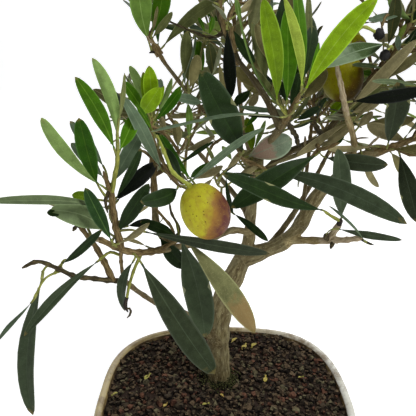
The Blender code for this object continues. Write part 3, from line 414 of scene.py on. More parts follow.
# Leaves that the photograph shows one by one: foot and tip of the blade, width, turn of the
# upper face away from the viewer in degrees, arch towards the upper face and sweep to the
# left, as seen from foot to tip, both as a part of the length, and the kind of leaf
SHOWN_LEAVES = {
    "foliage_left": (
        ((-0.043, -0.064, 0.222), (-0.049, -0.07, 0.251), 0.0054, 165, 0.04, -0.05, "pale"),
        ((-0.0446, -0.064, 0.2188), (-0.0543, -0.074, 0.2449), 0.0058, 20, 0.05, -0.03, "mid"),
        ((-0.051, -0.06, 0.203), (-0.065, -0.08, 0.232), 0.0052, 170, 0.04, 0.08, "pale"),
        ((-0.0521, -0.063, 0.205), (-0.0536, -0.076, 0.2314), 0.0068, 0, 0.05, 0, "deep"),
        ((-0.0509, -0.056, 0.2101), (-0.0619, -0.058, 0.228), 0.005, 30, 0.04, 0, "grey"),
        ((-0.051, -0.057, 0.2059), (-0.0617, -0.06, 0.2199), 0.005, 30, 0.03, 0, "grey"),
        ((-0.0419, -0.065, 0.2297), (-0.0388, -0.0665, 0.2459), 0.0026, 60, 0.02, 0, "olive"),
        ((-0.048, -0.056, 0.203), (-0.036, -0.053, 0.223), 0.0062, 20, 0.03, 0, "grey"),
        ((-0.0465, -0.056, 0.197), (-0.035, -0.06, 0.218), 0.004, 40, 0.05, 0, "dark"),
        ((-0.047, -0.055, 0.196), (-0.031, -0.046, 0.209), 0.0062, 10, 0.05, 0, "black"),
        ((-0.046, -0.06, 0.184), (-0.032, -0.064, 0.205), 0.0062, 15, 0.08, 0, "dark"),
        ((-0.05, -0.06, 0.194), (-0.084, -0.088, 0.205), 0.0046, 40, 0.06, 0, "sage"),
        ((-0.05, -0.06, 0.184), (-0.069, -0.07, 0.196), 0.0098, 20, 0.05, -0.1, "sage"),
        ((-0.048, -0.064, 0.182), (-0.055, -0.07, 0.205), 0.0056, 10, 0.03, 0, "moss"),
        ((-0.0543, -0.061, 0.198), (-0.0622, -0.063, 0.2002), 0.0044, 10, 0.03, 0, "fresh"),
        ((-0.045, -0.063, 0.18), (-0.032, -0.067, 0.19), 0.0034, 150, 0.05, 0, "tan"),
        ((-0.023, -0.05, 0.178), (-0.038, -0.051, 0.185), 0.005, 20, 0.08, 0, "dark"),
        ((-0.0345, -0.06, 0.1837), (0.018, -0.046, 0.1681), 0.0066, 30, 0.06, 0.03, "ash"),
        ((-0.0364, -0.062, 0.1705), (-0.0066, -0.078, 0.1294), 0.0116, 10, -0.05, -0.035, "ash"),
        ((-0.0211, -0.048, 0.1755), (-0.0108, -0.052, 0.1298), 0.0132, 15, -0.04, 0.03, "slate"),
        ((-0.0187, -0.052, 0.1771), (0.011, -0.06, 0.137), 0.0094, 170, -0.05, 0.025, "silver"),
        ((-0.0552, -0.06, 0.1705), (-0.0771, -0.088, 0.1534), 0.0046, 20, 0.03, -0.03, "slate"),
        ((-0.0409, -0.057, 0.1692), (-0.0453, -0.058, 0.1466), 0.0054, 30, 0.08, -0.09, "slate"),
        ((-0.0664, -0.064, 0.1931), (-0.0704, -0.068, 0.1949), 0.0027, 20, 0.05, 0, "dark"),
        ((-0.0663, -0.066, 0.1962), (-0.0701, -0.07, 0.1991), 0.0019, 150, 0.05, 0, "tan"),
        ((-0.045, -0.054, 0.1868), (-0.0333, -0.05, 0.1925), 0.0021, 150, 0.04, 0, "tan"),
        ((-0.0434, -0.05, 0.1827), (-0.0339, -0.044, 0.1824), 0.0039, 20, 0.05, 0.05, "black"),
        ((-0.047, -0.05, 0.1942), (-0.0356, -0.044, 0.2057), 0.0063, 20, 0.05, 0.05, "black"),
        ((-0.0361, -0.05, 0.1735), (-0.0451, -0.054, 0.1788), 0.0021, 150, 0.05, 0, "tan"),
        ((-0.0639, -0.067, 0.1945), (-0.0698, -0.071, 0.1955), 0.0034, 20, 0.03, 0, "dark"),
        ((-0.0428, -0.062, 0.2176), (-0.0365, -0.056, 0.2312), 0.0056, 20, 0.04, 0, "mid"),
        ((-0.0304, -0.046, 0.1757), (-0.0193, -0.044, 0.1604), 0.008, 20, 0.04, 0, "dark"),
    ),
    "foliage_mid_left": (
        ((-0.033, -0.037, 0.231), (-0.032, -0.05, 0.248), 0.0062, 20, 0.04, 0, "bright"),
        ((-0.0344, -0.036, 0.2289), (-0.0352, -0.044, 0.2455), 0.0042, 20, 0.04, 0, "fresh"),
        ((-0.035, -0.037, 0.23), (-0.04, -0.046, 0.248), 0.0048, 150, 0.04, 0, "pale"),
        ((-0.036, -0.037, 0.228), (-0.043, -0.046, 0.242), 0.0048, 20, 0.06, 0, "mid"),
        ((-0.0368, -0.04, 0.2286), (-0.0281, -0.05, 0.2401), 0.007, 20, 0.05, 0, "bright"),
        ((-0.032, -0.034, 0.225), (-0.021, -0.031, 0.238), 0.0046, 30, 0.05, 0, "deep"),
        ((-0.0323, -0.032, 0.2293), (-0.0297, -0.028, 0.2421), 0.0038, 20, 0.04, 0, "grey"),
        ((-0.029, -0.049, 0.208), (-0.041, -0.062, 0.238), 0.0052, 20, 0.05, 0, "grey"),
        ((-0.022, -0.053, 0.2), (-0.035, -0.068, 0.199), 0.0068, 0, 0.08, 0.08, "dark"),
        ((-0.018, -0.05, 0.201), (0.015, -0.034, 0.222), 0.0042, 40, -0.05, 0, "grey"),
        ((-0.02, -0.05, 0.202), (-0.0275, -0.043, 0.215), 0.0044, 20, 0.05, 0, "dark"),
        ((-0.0167, -0.042, 0.2012), (-0.03, -0.036, 0.2196), 0.0047, 15, 0.05, 0.05, "deep"),
        ((-0.0228, -0.03, 0.2129), (-0.0239, -0.03, 0.2248), 0.0044, 165, 0.04, 0, "olive"),
        ((-0.0288, -0.03, 0.2195), (-0.0295, -0.034, 0.227), 0.003, 160, 0.04, 0, "tan"),
        ((-0.0322, -0.046, 0.2228), (-0.0374, -0.052, 0.2338), 0.0024, 15, 0.04, 0, "mid"),
        ((-0.0308, -0.034, 0.2287), (-0.024, -0.04, 0.243), 0.0029, 160, 0.05, 0, "pale"),
        ((-0.0333, -0.034, 0.2295), (-0.0272, -0.042, 0.24), 0.0033, 20, 0.05, 0, "bright"),
        ((-0.0281, -0.03, 0.23), (-0.0209, -0.032, 0.2394), 0.003, 30, 0.04, 0, "mid"),
    ),
    "foliage_low_left": (
        ((-0.0665, -0.069, 0.174), (-0.049, -0.074, 0.19), 0.0036, 30, 0.06, 0, "dark"),
        ((-0.0747, -0.072, 0.1669), (-0.0813, -0.08, 0.111), 0.0082, 15, -0.02, -0.09, "slate"),
        ((-0.0755, -0.082, 0.1637), (-0.086, -0.09, 0.1526), 0.0024, 40, 0.06, 0.05, "grey"),
    ),
    "foliage_upper_left": (
        ((-0.0381, 0.001, 0.2592), (-0.0398, -0.009, 0.2859), 0.0104, 20, 0.04, 0.06, "pale"),
        ((-0.0362, 0.002, 0.2619), (-0.0295, -0.006, 0.286), 0.0084, 20, 0.04, -0.06, "mid"),
        ((-0.036, 0.003, 0.26), (-0.026, -0.002, 0.271), 0.0038, 40, 0.03, 0, "olive"),
        ((-0.031, 0.004, 0.256), (0.003, 0.008, 0.28), 0.0066, 20, 0.03, 0.07, "olive"),
    ),
    "foliage_inner": (
        ((0.0066, -0.025, 0.2106), (-0.0124, -0.056, 0.2466), 0.013, 0, 0.04, 0.02, "dark"),
        ((0.0208, -0.014, 0.1981), (0.0759, -0.048, 0.1829), 0.009, 15, 0.06, 0.065, "slate"),
        ((0.006, -0.012, 0.202), (-0.004, -0.014, 0.195), 0.003, 60, 0.05, 0, "dark"),
        ((0.011, -0.006, 0.236), (0.003, -0.012, 0.229), 0.0052, 20, 0.04, 0, "dark"),
        ((0.015, -0.006, 0.235), (0.011, -0.004, 0.228), 0.0043, 165, 0.04, 0, "tan"),
        ((0.026, -0.012, 0.223), (0.009, -0.018, 0.225), 0.0023, 30, 0.05, 0, "dark"),
        ((0.004, -0.01, 0.229), (0.021, -0.014, 0.227), 0.0028, 30, 0.05, 0, "grey"),
        ((0.013, -0.002, 0.205), (0.01, 0.002, 0.222), 0.0056, 20, 0.04, 0, "fresh"),
        ((0.014, 0.0, 0.206), (0.02, 0.006, 0.22), 0.0026, 160, 0.03, 0, "pale"),
        ((0.017, -0.004, 0.215), (0.006, -0.008, 0.215), 0.002, 70, 0.03, 0, "dark"),
        ((0.0164, -0.006, 0.236), (0.0026, -0.012, 0.2462), 0.006, 160, 0.04, 0, "brown"),
        ((0.0187, -0.004, 0.2325), (0.0072, -0.006, 0.2406), 0.0048, 165, 0.04, 0, "olive"),
        ((0.0268, -0.006, 0.2289), (0.0158, -0.01, 0.2408), 0.0052, 20, 0.04, 0, "brown"),
        ((0.0257, -0.014, 0.2274), (0.0098, -0.018, 0.2472), 0.0044, 20, 0.03, 0, "olive"),
        ((0.0283, -0.012, 0.2295), (0.0228, -0.014, 0.241), 0.0042, 20, 0.04, 0, "dark"),
        ((0.0161, -0.006, 0.2452), (0.0081, -0.01, 0.2515), 0.004, 160, 0.04, 0, "olive"),
        ((0.003, -0.01, 0.192), (0.018, -0.006, 0.202), 0.004, 165, 0.04, 0, "tan"),
        ((-0.007, -0.012, 0.194), (-0.015, -0.016, 0.186), 0.003, 160, 0.04, 0, "tan"),
        ((-0.001, -0.024, 0.1981), (0.0026, -0.024, 0.1794), 0.0028, 40, 0.05, 0, "dark"),
        ((0.0033, -0.02, 0.1781), (0.019, -0.03, 0.1679), 0.0039, 20, 0.05, 0.04, "dark"),
        ((-0.0113, -0.014, 0.2251), (-0.0271, -0.022, 0.2251), 0.0028, 150, 0.04, 0, "tan"),
        ((-0.0117, -0.02, 0.2312), (-0.0242, -0.028, 0.2345), 0.005, 15, 0.05, 0.02, "grey"),
        ((-0.0183, -0.018, 0.2149), (-0.0184, -0.022, 0.2309), 0.0037, 30, 0.05, 0, "pale"),
        ((-0.0177, -0.026, 0.1976), (-0.0094, -0.034, 0.2065), 0.0036, 15, 0.06, 0, "deep"),
        ((-0.0211, -0.028, 0.2102), (-0.0064, -0.038, 0.2191), 0.0031, 160, 0.04, 0, "tan"),
        ((-0.0217, -0.028, 0.2047), (-0.0068, -0.036, 0.2166), 0.0022, 30, 0.05, 0.04, "dark"),
        ((-0.0161, -0.02, 0.1956), (-0.0025, -0.026, 0.2033), 0.0042, 155, 0.05, 0, "tan"),
        ((-0.0007, -0.016, 0.1991), (0.006, -0.02, 0.2087), 0.0033, 160, 0.05, 0, "tan"),
        ((0.014, -0.014, 0.1956), (-0.0009, -0.02, 0.1981), 0.0019, 20, 0.04, 0, "dark"),
        ((-0.0108, -0.014, 0.2209), (-0.0066, -0.02, 0.2148), 0.0028, 150, 0.04, 0, "grey"),
        ((-0.0055, -0.012, 0.2002), (-0.0103, -0.016, 0.2108), 0.0024, 30, 0.04, 0, "olive"),
        ((0.0025, -0.008, 0.2023), (-0.0026, -0.012, 0.21), 0.0029, 160, 0.04, 0, "pale"),
        ((0.0092, -0.006, 0.2188), (0.0151, -0.004, 0.2253), 0.0029, 30, 0.04, 0, "deep"),
        ((0.0166, -0.004, 0.1926), (0.0083, -0.002, 0.2062), 0.0078, 160, 0.04, 0, "tan"),
    ),
    "foliage_centre": (
        ((0.02, -0.032, 0.234), (0.011, -0.048, 0.272), 0.0086, 20, 0.05, 0, "fresh"),
        ((0.0245, -0.0315, 0.2335), (0.0225, -0.0345, 0.27), 0.0086, 10, 0.03, 0, "mid"),
        ((0.029, -0.039, 0.24), (0.019, -0.046, 0.273), 0.0046, 140, 0.02, -0.05, "bright"),
        ((0.0303, -0.035, 0.2404), (0.0264, -0.026, 0.279), 0.0058, 20, 0.02, 0, "mid"),
        ((0.031, -0.039, 0.239), (0.052, -0.054, 0.272), 0.0084, 15, 0.06, 0.06, "bright"),
        ((0.032, -0.036, 0.24), (0.037, -0.03, 0.257), 0.0034, 40, 0.03, 0, "mid"),
        ((0.025, -0.023, 0.228), (0.002, -0.034, 0.274), 0.0034, 65, -0.08, 0.05, "pale"),
        ((0.0202, -0.04, 0.2273), (-0.0306, -0.066, 0.2251), 0.0038, 60, 0.04, -0.03, "grey"),
        ((0.017, -0.018, 0.25), (0.012, -0.014, 0.265), 0.0044, 170, 0.04, 0, "olive"),
        ((0.032, -0.026, 0.242), (0.036, -0.02, 0.264), 0.007, 15, 0.04, 0, "dark"),
        ((0.033, -0.024, 0.244), (0.034, -0.016, 0.278), 0.0035, 15, 0.04, 0, "olive"),
        ((0.019, -0.014, 0.25), (0.024, -0.012, 0.277), 0.0045, 20, 0.04, 0, "dark"),
        ((0.028, -0.022, 0.227), (0.032, -0.018, 0.245), 0.0058, 15, 0.04, 0, "dark"),
        ((0.032, -0.03, 0.234), (0.043, -0.02, 0.246), 0.007, 165, 0.04, 0, "brown"),
        ((0.0175, -0.012, 0.2409), (0.0106, -0.008, 0.2662), 0.0076, 20, 0.04, 0, "olive"),
        ((0.0361, -0.02, 0.243), (0.0344, -0.016, 0.269), 0.0066, 15, 0.04, 0, "slate"),
    ),
    "foliage_top": (
        ((-0.0017, -0.034, 0.2616), (0.0004, -0.033, 0.2345), 0.0056, 10, -0.05, 0, "black"),
        ((-0.019, -0.008, 0.24), (-0.019, -0.012, 0.262), 0.0054, 15, 0.05, 0.04, "olive"),
        ((-0.021, -0.009, 0.241), (-0.015, -0.014, 0.261), 0.0023, 75, 0.05, 0, "grey"),
        ((-0.013, -0.006, 0.241), (-0.014, -0.004, 0.259), 0.005, 20, 0.04, 0, "mid"),
        ((-0.018, -0.01, 0.237), (-0.014, -0.014, 0.252), 0.006, 165, 0.04, 0, "olive"),
        ((-0.007, -0.008, 0.242), (-0.009, -0.016, 0.257), 0.0055, 20, 0.04, 0, "brown"),
        ((-0.004, -0.014, 0.259), (-0.019, -0.018, 0.263), 0.0018, 70, 0.05, 0, "dark"),
        ((-0.004, -0.012, 0.258), (-0.015, -0.008, 0.258), 0.0018, 60, 0.05, 0, "olive"),
        ((0.001, -0.016, 0.263), (0.011, -0.022, 0.248), 0.0046, 20, 0.06, 0, "dark"),
        ((0.002, -0.012, 0.264), (0.01, -0.016, 0.271), 0.0018, 150, 0.03, 0, "tan"),
        ((0.01, -0.008, 0.262), (0.013, -0.006, 0.278), 0.0064, 160, 0.04, 0, "dark"),
        ((-0.011, -0.004, 0.262), (-0.014, 0.0, 0.269), 0.0023, 30, 0.03, 0, "mid"),
        ((-0.009, -0.004, 0.261), (-0.007, -0.002, 0.269), 0.0028, 30, 0.03, 0, "mid"),
        ((0.005, -0.014, 0.266), (0.002, -0.02, 0.275), 0.003, 20, 0.04, 0, "pale"),
        ((-0.0076, -0.012, 0.2427), (-0.0037, -0.018, 0.2565), 0.0023, 150, 0.06, 0, "grey"),
        ((-0.0043, -0.008, 0.2488), (0.0005, -0.012, 0.2318), 0.0037, 160, 0.04, 0, "olive"),
    ),
    "foliage_mid_right": (
        ((0.041, -0.019, 0.2066), (0.0011, -0.033, 0.1853), 0.0112, 15, 0.05, 0, "dark"),
        ((0.048, -0.013, 0.2045), (0.0755, -0.02, 0.2025), 0.0088, 30, 0.06, 0, "ash"),
        ((0.048, 0.0, 0.21), (0.061, 0.002, 0.22), 0.0045, 165, 0.04, 0, "olive"),
        ((0.046, -0.002, 0.206), (0.061, -0.006, 0.219), 0.004, 165, 0.05, 0, "tan"),
        ((0.033, -0.01, 0.222), (0.043, -0.014, 0.229), 0.0038, 20, 0.04, 0, "dark"),
        ((0.03, -0.01, 0.218), (0.04, -0.016, 0.223), 0.0019, 70, 0.04, 0, "dark"),
        ((0.0109, -0.008, 0.2043), (0.031, -0.012, 0.2134), 0.0125, 15, 0.05, 0, "blush"),
        ((0.06, 0.006, 0.224), (0.049, 0.002, 0.226), 0.002, 70, 0.05, 0, "dark"),
        ((0.06, 0.008, 0.23), (0.053, 0.006, 0.224), 0.0041, 20, 0.05, 0, "bright"),
        ((0.0594, -0.006, 0.2208), (0.0339, -0.012, 0.2051), 0.0039, 160, 0.04, 0, "tan"),
        ((0.018, -0.004, 0.1973), (0.0519, -0.002, 0.2112), 0.0025, 165, 0.04, 0, "tan"),
    ),
    "foliage_upper_right": (
        ((0.0697, -0.014, 0.2566), (0.0371, -0.038, 0.2473), 0.0094, 20, 0.05, 0, "half_sheen"),
        ((0.078, 0.004, 0.256), (0.077, -0.002, 0.278), 0.0071, 15, 0.04, 0, "brown"),
        ((0.088, 0.004, 0.268), (0.073, -0.004, 0.278), 0.0042, 160, 0.04, 0.08, "pale"),
        ((0.083, 0.002, 0.27), (0.065, -0.004, 0.267), 0.0042, 20, 0.05, 0, "grey"),
        ((0.087, 0.004, 0.265), (0.092, 0.002, 0.275), 0.0043, 20, 0.04, 0, "dark"),
        ((0.069, 0.002, 0.248), (0.059, -0.006, 0.247), 0.0019, 60, 0.04, 0, "grey"),
        ((0.073, -0.008, 0.2457), (0.0562, -0.014, 0.2476), 0.003, 30, 0.04, 0, "sage"),
    ),
    "foliage_outer_right": (
        ((0.083, -0.014, 0.206), (0.089, -0.03, 0.177), 0.0092, 20, 0.05, 0, "ash"),
        ((0.0763, -0.015, 0.212), (0.073, -0.026, 0.2407), 0.0122, 10, 0.05, 0, "ash"),
        ((0.065, -0.004, 0.218), (0.073, 0.002, 0.225), 0.0045, 160, 0.04, 0, "tan"),
        ((0.069, 0.0, 0.219), (0.093, -0.002, 0.222), 0.0065, 165, 0.04, 0, "olive"),
        ((0.087, -0.01, 0.212), (0.069, -0.004, 0.219), 0.0069, 165, 0.04, 0, "tan"),
        ((0.082, -0.01, 0.208), (0.071, -0.006, 0.208), 0.0039, 160, 0.04, 0, "tan"),
        ((0.081, -0.008, 0.206), (0.095, -0.004, 0.193), 0.0075, 160, 0.04, 0, "olive"),
        ((0.0698, -0.012, 0.21), (0.0457, -0.018, 0.2102), 0.0033, 160, 0.06, 0.05, "tan"),
        ((0.0661, -0.012, 0.2041), (0.0739, -0.016, 0.1906), 0.0042, 160, 0.04, -0.03, "tan"),
    ),
    "foliage_front_right": (
        ((0.056, -0.021, 0.232), (0.083, -0.034, 0.238), 0.0062, 30, 0.05, 0, "black"),
        ((0.058, -0.012, 0.229), (0.082, -0.02, 0.2585), 0.0056, 168, 0.03, 0, "tan"),
        ((0.074, -0.008, 0.241), (0.089, -0.012, 0.254), 0.0046, 165, 0.03, 0, "olive"),
        ((0.085, -0.018, 0.239), (0.062, -0.026, 0.241), 0.0031, 20, 0.03, 0, "sage"),
        ((0.058, -0.014, 0.226), (0.069, -0.02, 0.233), 0.0051, 165, 0.04, 0, "tan"),
        ((0.059, -0.014, 0.221), (0.066, -0.02, 0.231), 0.0023, 110, -0.06, 0, "tan"),
    ),
    "foliage_low_right": (
        ((0.056, -0.019, 0.176), (0.05, -0.024, 0.211), 0.01, 10, 0.03, 0, "slate"),
        ((0.045, -0.024, 0.1814), (-0.0041, -0.052, 0.2063), 0.008, 15, 0.03, 0.03, "dark"),
        ((0.0652, -0.028, 0.1676), (0.0456, -0.034, 0.1866), 0.0023, 40, 0.05, 0, "grey"),
        ((0.0545, -0.022, 0.171), (0.0816, -0.032, 0.1692), 0.004, 25, 0.03, 0, "slate"),
    ),
}

# Fruit: name, centre, width, height, lean in degrees and kind
OLIVES = (
    ("olive_front", (-0.0106, -0.0620, 0.1933), 0.0188, 0.0232, 28, "ripening"),
    ("olive_back", (0.0570, 0.0030, 0.2415), 0.0200, 0.0240, 5, "green"),
    ("olive_rear", (0.0660, 0.0160, 0.2545), 0.0120, 0.0150, 8, "green"),
    ("dried_berry_a", (0.0704, -0.0040, 0.2612), 0.0050, 0.0054, 0, "dried"),
    ("dried_berry_b", (0.0704, -0.0150, 0.2519), 0.0046, 0.0050, 0, "dried"),
)

# Stalks of the fruit: the points they run through, and the radii at their two ends
FRUIT_STALKS = (
    (((-0.031, -0.04, 0.2195), (-0.028, -0.046, 0.215), (-0.0258, -0.05, 0.2108),
      (-0.0233, -0.055, 0.2072), (-0.0165, -0.0616, 0.2034)),
     0.00066, 0.0008),
    (((0.059, 0.003, 0.259), (0.0588, 0.003, 0.257), (0.0582, 0.003, 0.2525)), 0.0008, 0.0009),
    (((0.059, 0.003, 0.2595), (0.063, 0.01, 0.265), (0.0665, 0.016, 0.2615)), 0.0007, 0.0008),
    (((0.0577, 0.003, 0.2579), (0.0608, 0.0, 0.2619), (0.0634, -0.003, 0.2644), (0.0694, -0.004, 0.2617)),
     0.0006, 0.0007),
    (((0.0818, 0.007, 0.2543), (0.0759, -0.006, 0.2559), (0.0707, -0.015, 0.2532)), 0.0005, 0.0006),
)

# Colours of each kind of leaf, as sRGB codes: upper face, underside, midrib
LEAF_COLOURS = {
    "bright": ("7a9c0e", "a0b446", "8aa830"),
    "mid": ("3a6004", "7c9040", "567a20"),
    "deep": ("254a00", "6f7a4c", "3c5c14"),
    "moss": ("213a18", "75805a", "45602f"),
    "dark": ("1c2c11", "6a6c48", "283a1a"),
    "slate": ("37422e", "72755a", "444f3c"),
    "ash": ("2c3422", "6a6c48", "3e4834"),
    "black": ("050b02", "52573a", "0e1607"),
    # Upper face's grey is partly painted sheen, the sky's reflection on a glossy leaf
    "grey": ("51614a", "7c8063", "617057"),
    "sage": ("63724e", "808a64", "7b8a64"),
    "olive": ("5c6238", "7d774e", "6a6f42"),
    "brown": ("3f4526", "67613a", "5c582f"),
    # Upper face pale grey-green as painted sheen, save for the leaf's own dark green in its patch below
    "half_sheen": ("66765a", "7c8063", "76866a"),
    "tan": ("5b5b36", "8b835e", "9b9368"),
    "fresh": ("5f7b0c", "8ea848", "6c8820"),
    "pale": ("5f7c34", "728a4c", "7f9a52"),
    "silver": ("3f4c30", "6f7049", "7c7b55"),
    "blush": ("86967c", "8a7a70", "9a9f86"),
}

# Discoloured stretches of a kind of leaf, and on the half-sheened kind its own dark green: colour, and
# where along the leaf it starts and ends
LEAF_PATCHES = {
    "blush": ("977b6a", 0.04, 0.62),
    "silver": ("877048", 0.62, 1.20),
    # The leaf's own dark green; the pale rest of this kind's upper face is painted sheen
    "half_sheen": ("2d4210", -0.30, 0.60),
}

# Openings in the crown, where the photograph shows sky: place and radius in the plane
# through the trunk, as seen from the camera
SKY_GAPS = (
    (-0.058, 0.2654, 0.0113), (-0.0374, 0.2468, 0.0024), (-0.0266, 0.2551, 0.0034),
    (-0.0169, 0.2741, 0.0033), (-0.0269, 0.2417, 0.0015), (-0.0026, 0.2394, 0.0012),
    (-0.0267, 0.2283, 0.0012), (-0.0145, 0.2124, 0.0015), (-0.0246, 0.2094, 0.002),
    (-0.045, 0.2063, 0.002), (-0.0219, 0.2195, 0.001), (-0.0516, 0.217, 0.0015),
    (0.0483, 0.2636, 0.0024), (0.0699, 0.2654, 0.0024), (0.0394, 0.2155, 0.004),
    (0.0695, 0.2165, 0.003), (0.0908, 0.2273, 0.0025), (0.0871, 0.217, 0.0015),
    (0.0835, 0.1954, 0.0047), (0.0602, 0.2084, 0.0015), (-0.0176, 0.2006, 0.002),
    (-0.0109, 0.2058, 0.0013), (-0.0475, 0.2587, 0.0057), (-0.0431, 0.2505, 0.0034),
    (-0.0328, 0.2422, 0.0024), (-0.0244, 0.2459, 0.0014), (-0.0099, 0.2533, 0.0014),
    (0.0399, 0.216, 0.005), (0.0718, 0.2139, 0.0035), (0.075, 0.2269, 0.0025),
    (-0.0244, 0.2478, 0.0019), (-0.0246, 0.2596, 0.0019), (-0.0225, 0.2728, 0.0042),
    (-0.0188, 0.2676, 0.0014), (-0.0235, 0.2667, 0.0014), (-0.0378, 0.2641, 0.0009),
    (-0.0118, 0.2487, 0.001), (0.044, 0.2702, 0.0042), (0.0416, 0.2641, 0.0014),
    (0.0143, 0.2317, 0.0015), (0.0665, 0.261, 0.0024), (0.0727, 0.2737, 0.0019),
    (0.0892, 0.2468, 0.0024), (0.0902, 0.2431, 0.0019), (-0.0497, 0.2441, 0.0019),
    (-0.0515, 0.2365, 0.001), (-0.0005, 0.2728, 0.0014), (0.0019, 0.2676, 0.0009),
    (0.0083, 0.256, 0.0005), (0.0075, 0.2482, 0.0014), (0.004, 0.2556, 0.001),
    (0.0367, 0.22, 0.0025), (0.0357, 0.2109, 0.002), (-0.0499, 0.2487, 0.0034),
    (-0.0534, 0.2384, 0.0024), (0.0551, 0.272, 0.0037), (0.0509, 0.2667, 0.0019),
    (0.0667, 0.2496, 0.0017), (0.0445, 0.2578, 0.0014),
)

# Soil: distance between grains, and its two layers of them as (height, least and greatest
# size), kinds of grain as (dark, base and light colour, weight), how lumpy and how long they
# are, and how near they come to the pot and to the middle of the trunk
SOIL_SEED = 33
GRAIN_SPACING = 0.0036
GRAIN_JITTER = 0.4
GRAIN_LAYERS = ((0.0, (0.0028, 0.0058)), (0.001, (0.0016, 0.0032)))
GRAIN_SINK = (-0.0012, 0.0004)
GRAIN_KINDS = {
    "grain_black": ("080503", "1c150e", "4a3f30", 40),
    "grain_brown": ("0f0a05", "2f2419", "6b5a44", 36),
    "grain_red": ("160a05", "3a2217", "6c4a38", 12),
    "grain_olive": ("14120a", "393426", "746c50", 12),
}
GRAIN_LUMPS = (0.66, 1.26)
GRAIN_SHAPES = (0.65, 1.15)
GRAIN_FROM_POT = 0.0006
GRAIN_FROM_TRUNK = 0.008

# Moss: number of tufts round the trunk and on its foot, how far from the trunk's middle they
# start, how far they spread, and the least and greatest size, and the low mound they lie on
MOSS_ROUND = (380, 0.0074, 0.003, (0.0007, 0.0015))
MOSS_CLIMBING = (240, 0.007, 0.0026, (0.0007, 0.0014))
MOSS_CLIMB_TAPER = 0.03
MOSS_MOUND = 0.0016
MOSS_MOUND_RADIUS = 0.022
MOSS_LIFT = (0.0003, 0.0012)

# Scraps of leaf on the soil: place, length and the number of the colour
SCRAP_COLOURS = ("9c8a35", "7c8f3a", "b07a3a", "6a7a2c", "c2a95c")
SCRAP_WIDTH = 0.55
SCRAP_LIFT = 0.0022
SCRAPS = (
    (0.0228, 0.0484, 0.0062, 0),
    (0.0263, 0.0115, 0.0046, 0),
    (0.0095, 0.0545, 0.0052, 4),
    (0.0156, 0.0460, 0.0060, 4),
    (-0.0478, 0.0135, 0.0052, 1),
    (-0.0650, -0.0020, 0.0034, 1),
    (-0.0010, -0.0032, 0.0032, 2),
    (-0.0343, -0.0118, 0.0036, 2),
    (0.0486, 0.0135, 0.0030, 1),
    (-0.0111, -0.0110, 0.0036, 3),
)

# Floor and light: where the floor starts and ends, the radius of its bend up to the backdrop,
# strength of its glow and of the white surroundings, and lamps as name, place, size and power
FLOOR_FRONT = -3.0
FLOOR_BACK = 1.6
FLOOR_BEND = 0.8
FLOOR_DROP = 0.0002
WORLD_STRENGTH = 0.30
FLOOR_GLOW = 0.5
LAMP_TARGET = Vector((0, 0, 0.17))
LAMPS = (
    ("key", (0.60, -0.50, 0.95), 0.45, 7.5),
    ("fill", (-0.8, -0.7, 0.55), 0.8, 0.8),
    ("rim", (0.2, 0.9, 0.9), 0.8, 1.6),
)

# Wood: rings and sides of the tubes, how far their lines wander, the voxel that fuses them, how
# the skin is softened, and how deep it goes into the soil
RING_SPACING = 0.0016
WOOD_SIDES = 14
WOOD_SEED = 21
WANDER_SEED = 4
WANDER_FADE = 0.012
WOOD_WANDER = 0.0003
WOOD_WANDER_SCALE = 90
TRUNK_WANDER_PART = 0.6
WOOD_VOXEL = 0.00046
SOFTEN_FACTOR = 0.6
SOFTEN_PASSES = 4
WOOD_FOOT = SOIL_TOP - 0.003

# Bark: the swollen foot of a limb and its swollen nodes, as parts of the radius, the scale and
# depth of ridges along the grain and of broad knobs, the girth from which bark looks old, and
# how light each limb is, from 0 to 1
COLLAR_SWELL = 0.28
COLLAR_REACH = 2.6
FIRST_NODES = (0.008, 0.016)
NODE_STEPS = (0.011, 0.016)
TIP_WITHOUT_NODES = 0.004
NODE_SWELL = 0.16
TRUNK_NODE_SWELL = 0.1
NODE_WIDTH = 0.0011
RIDGE_SCALE = (620, 620, 130)
RIDGE_DEPTH = 0.055
RIDGE_MOST = 0.00036
KNOB_SCALE = 210
KNOB_DEPTH = 0.06
THICK_GIRTH = 0.006
WOOD_SHADE = 0.35
WOOD_SHADES = {
    "trunk": 0.5,
    "left_limb": 0.5,
    "right_limb": 0.5,
    "top_bough": 0.05,
    "centre_bough": 0.35,
    "upper_right_bough": 0.15,
    "upper_left_bough": 0.3,
    "front_left_bough": 0.55,
    "upright_right_bough": 0.85,
    "outer_right_bough": 0.6,
    "low_right_bough": 1.0,
}

# Twigs: how far their lines wander, how much their nodes swell, radii, and from how far a shown
# twig is drawn to the wood. A shown leaf further from the wood than SPUR_FROM gets a spur.
TWIG_SIDES = 8
TWIG_SNAP = 0.006
TWIG_WANDER = 0.00035
TWIG_WANDER_FROM = 0.03
TWIG_WANDER_SCALE = 140
TWIG_WANDER_FADE = 0.008
TWIG_NODE_WIDTH = 0.0009
TWIG_FIRST_NODE = 0.004
TWIG_LAST_NODE = 0.001
TWIG_NODE_SPACING = 0.00576
TWIG_TIP_PART = 0.45
STEM_OVERLAP = 0.003
STEM_FOOT = 1.02
TWIG_SWELL = {"brown": 0.34, "green": 0.14, "stalk": 0.2, "dark": 0.45, "black": 0.5, "tan": 0.3}
STEM_TIP_RADIUS = 0.00070
TWIG_RADIUS = 0.00092
TWIG_TIP_RADIUS = 0.00058
SPUR_RADIUS = 0.00060
SPUR_TIP_RADIUS = 0.00048
SPUR_FROM = 0.0095
SPUR_PETIOLE = 0.9
SPUR_BEND = 0.45

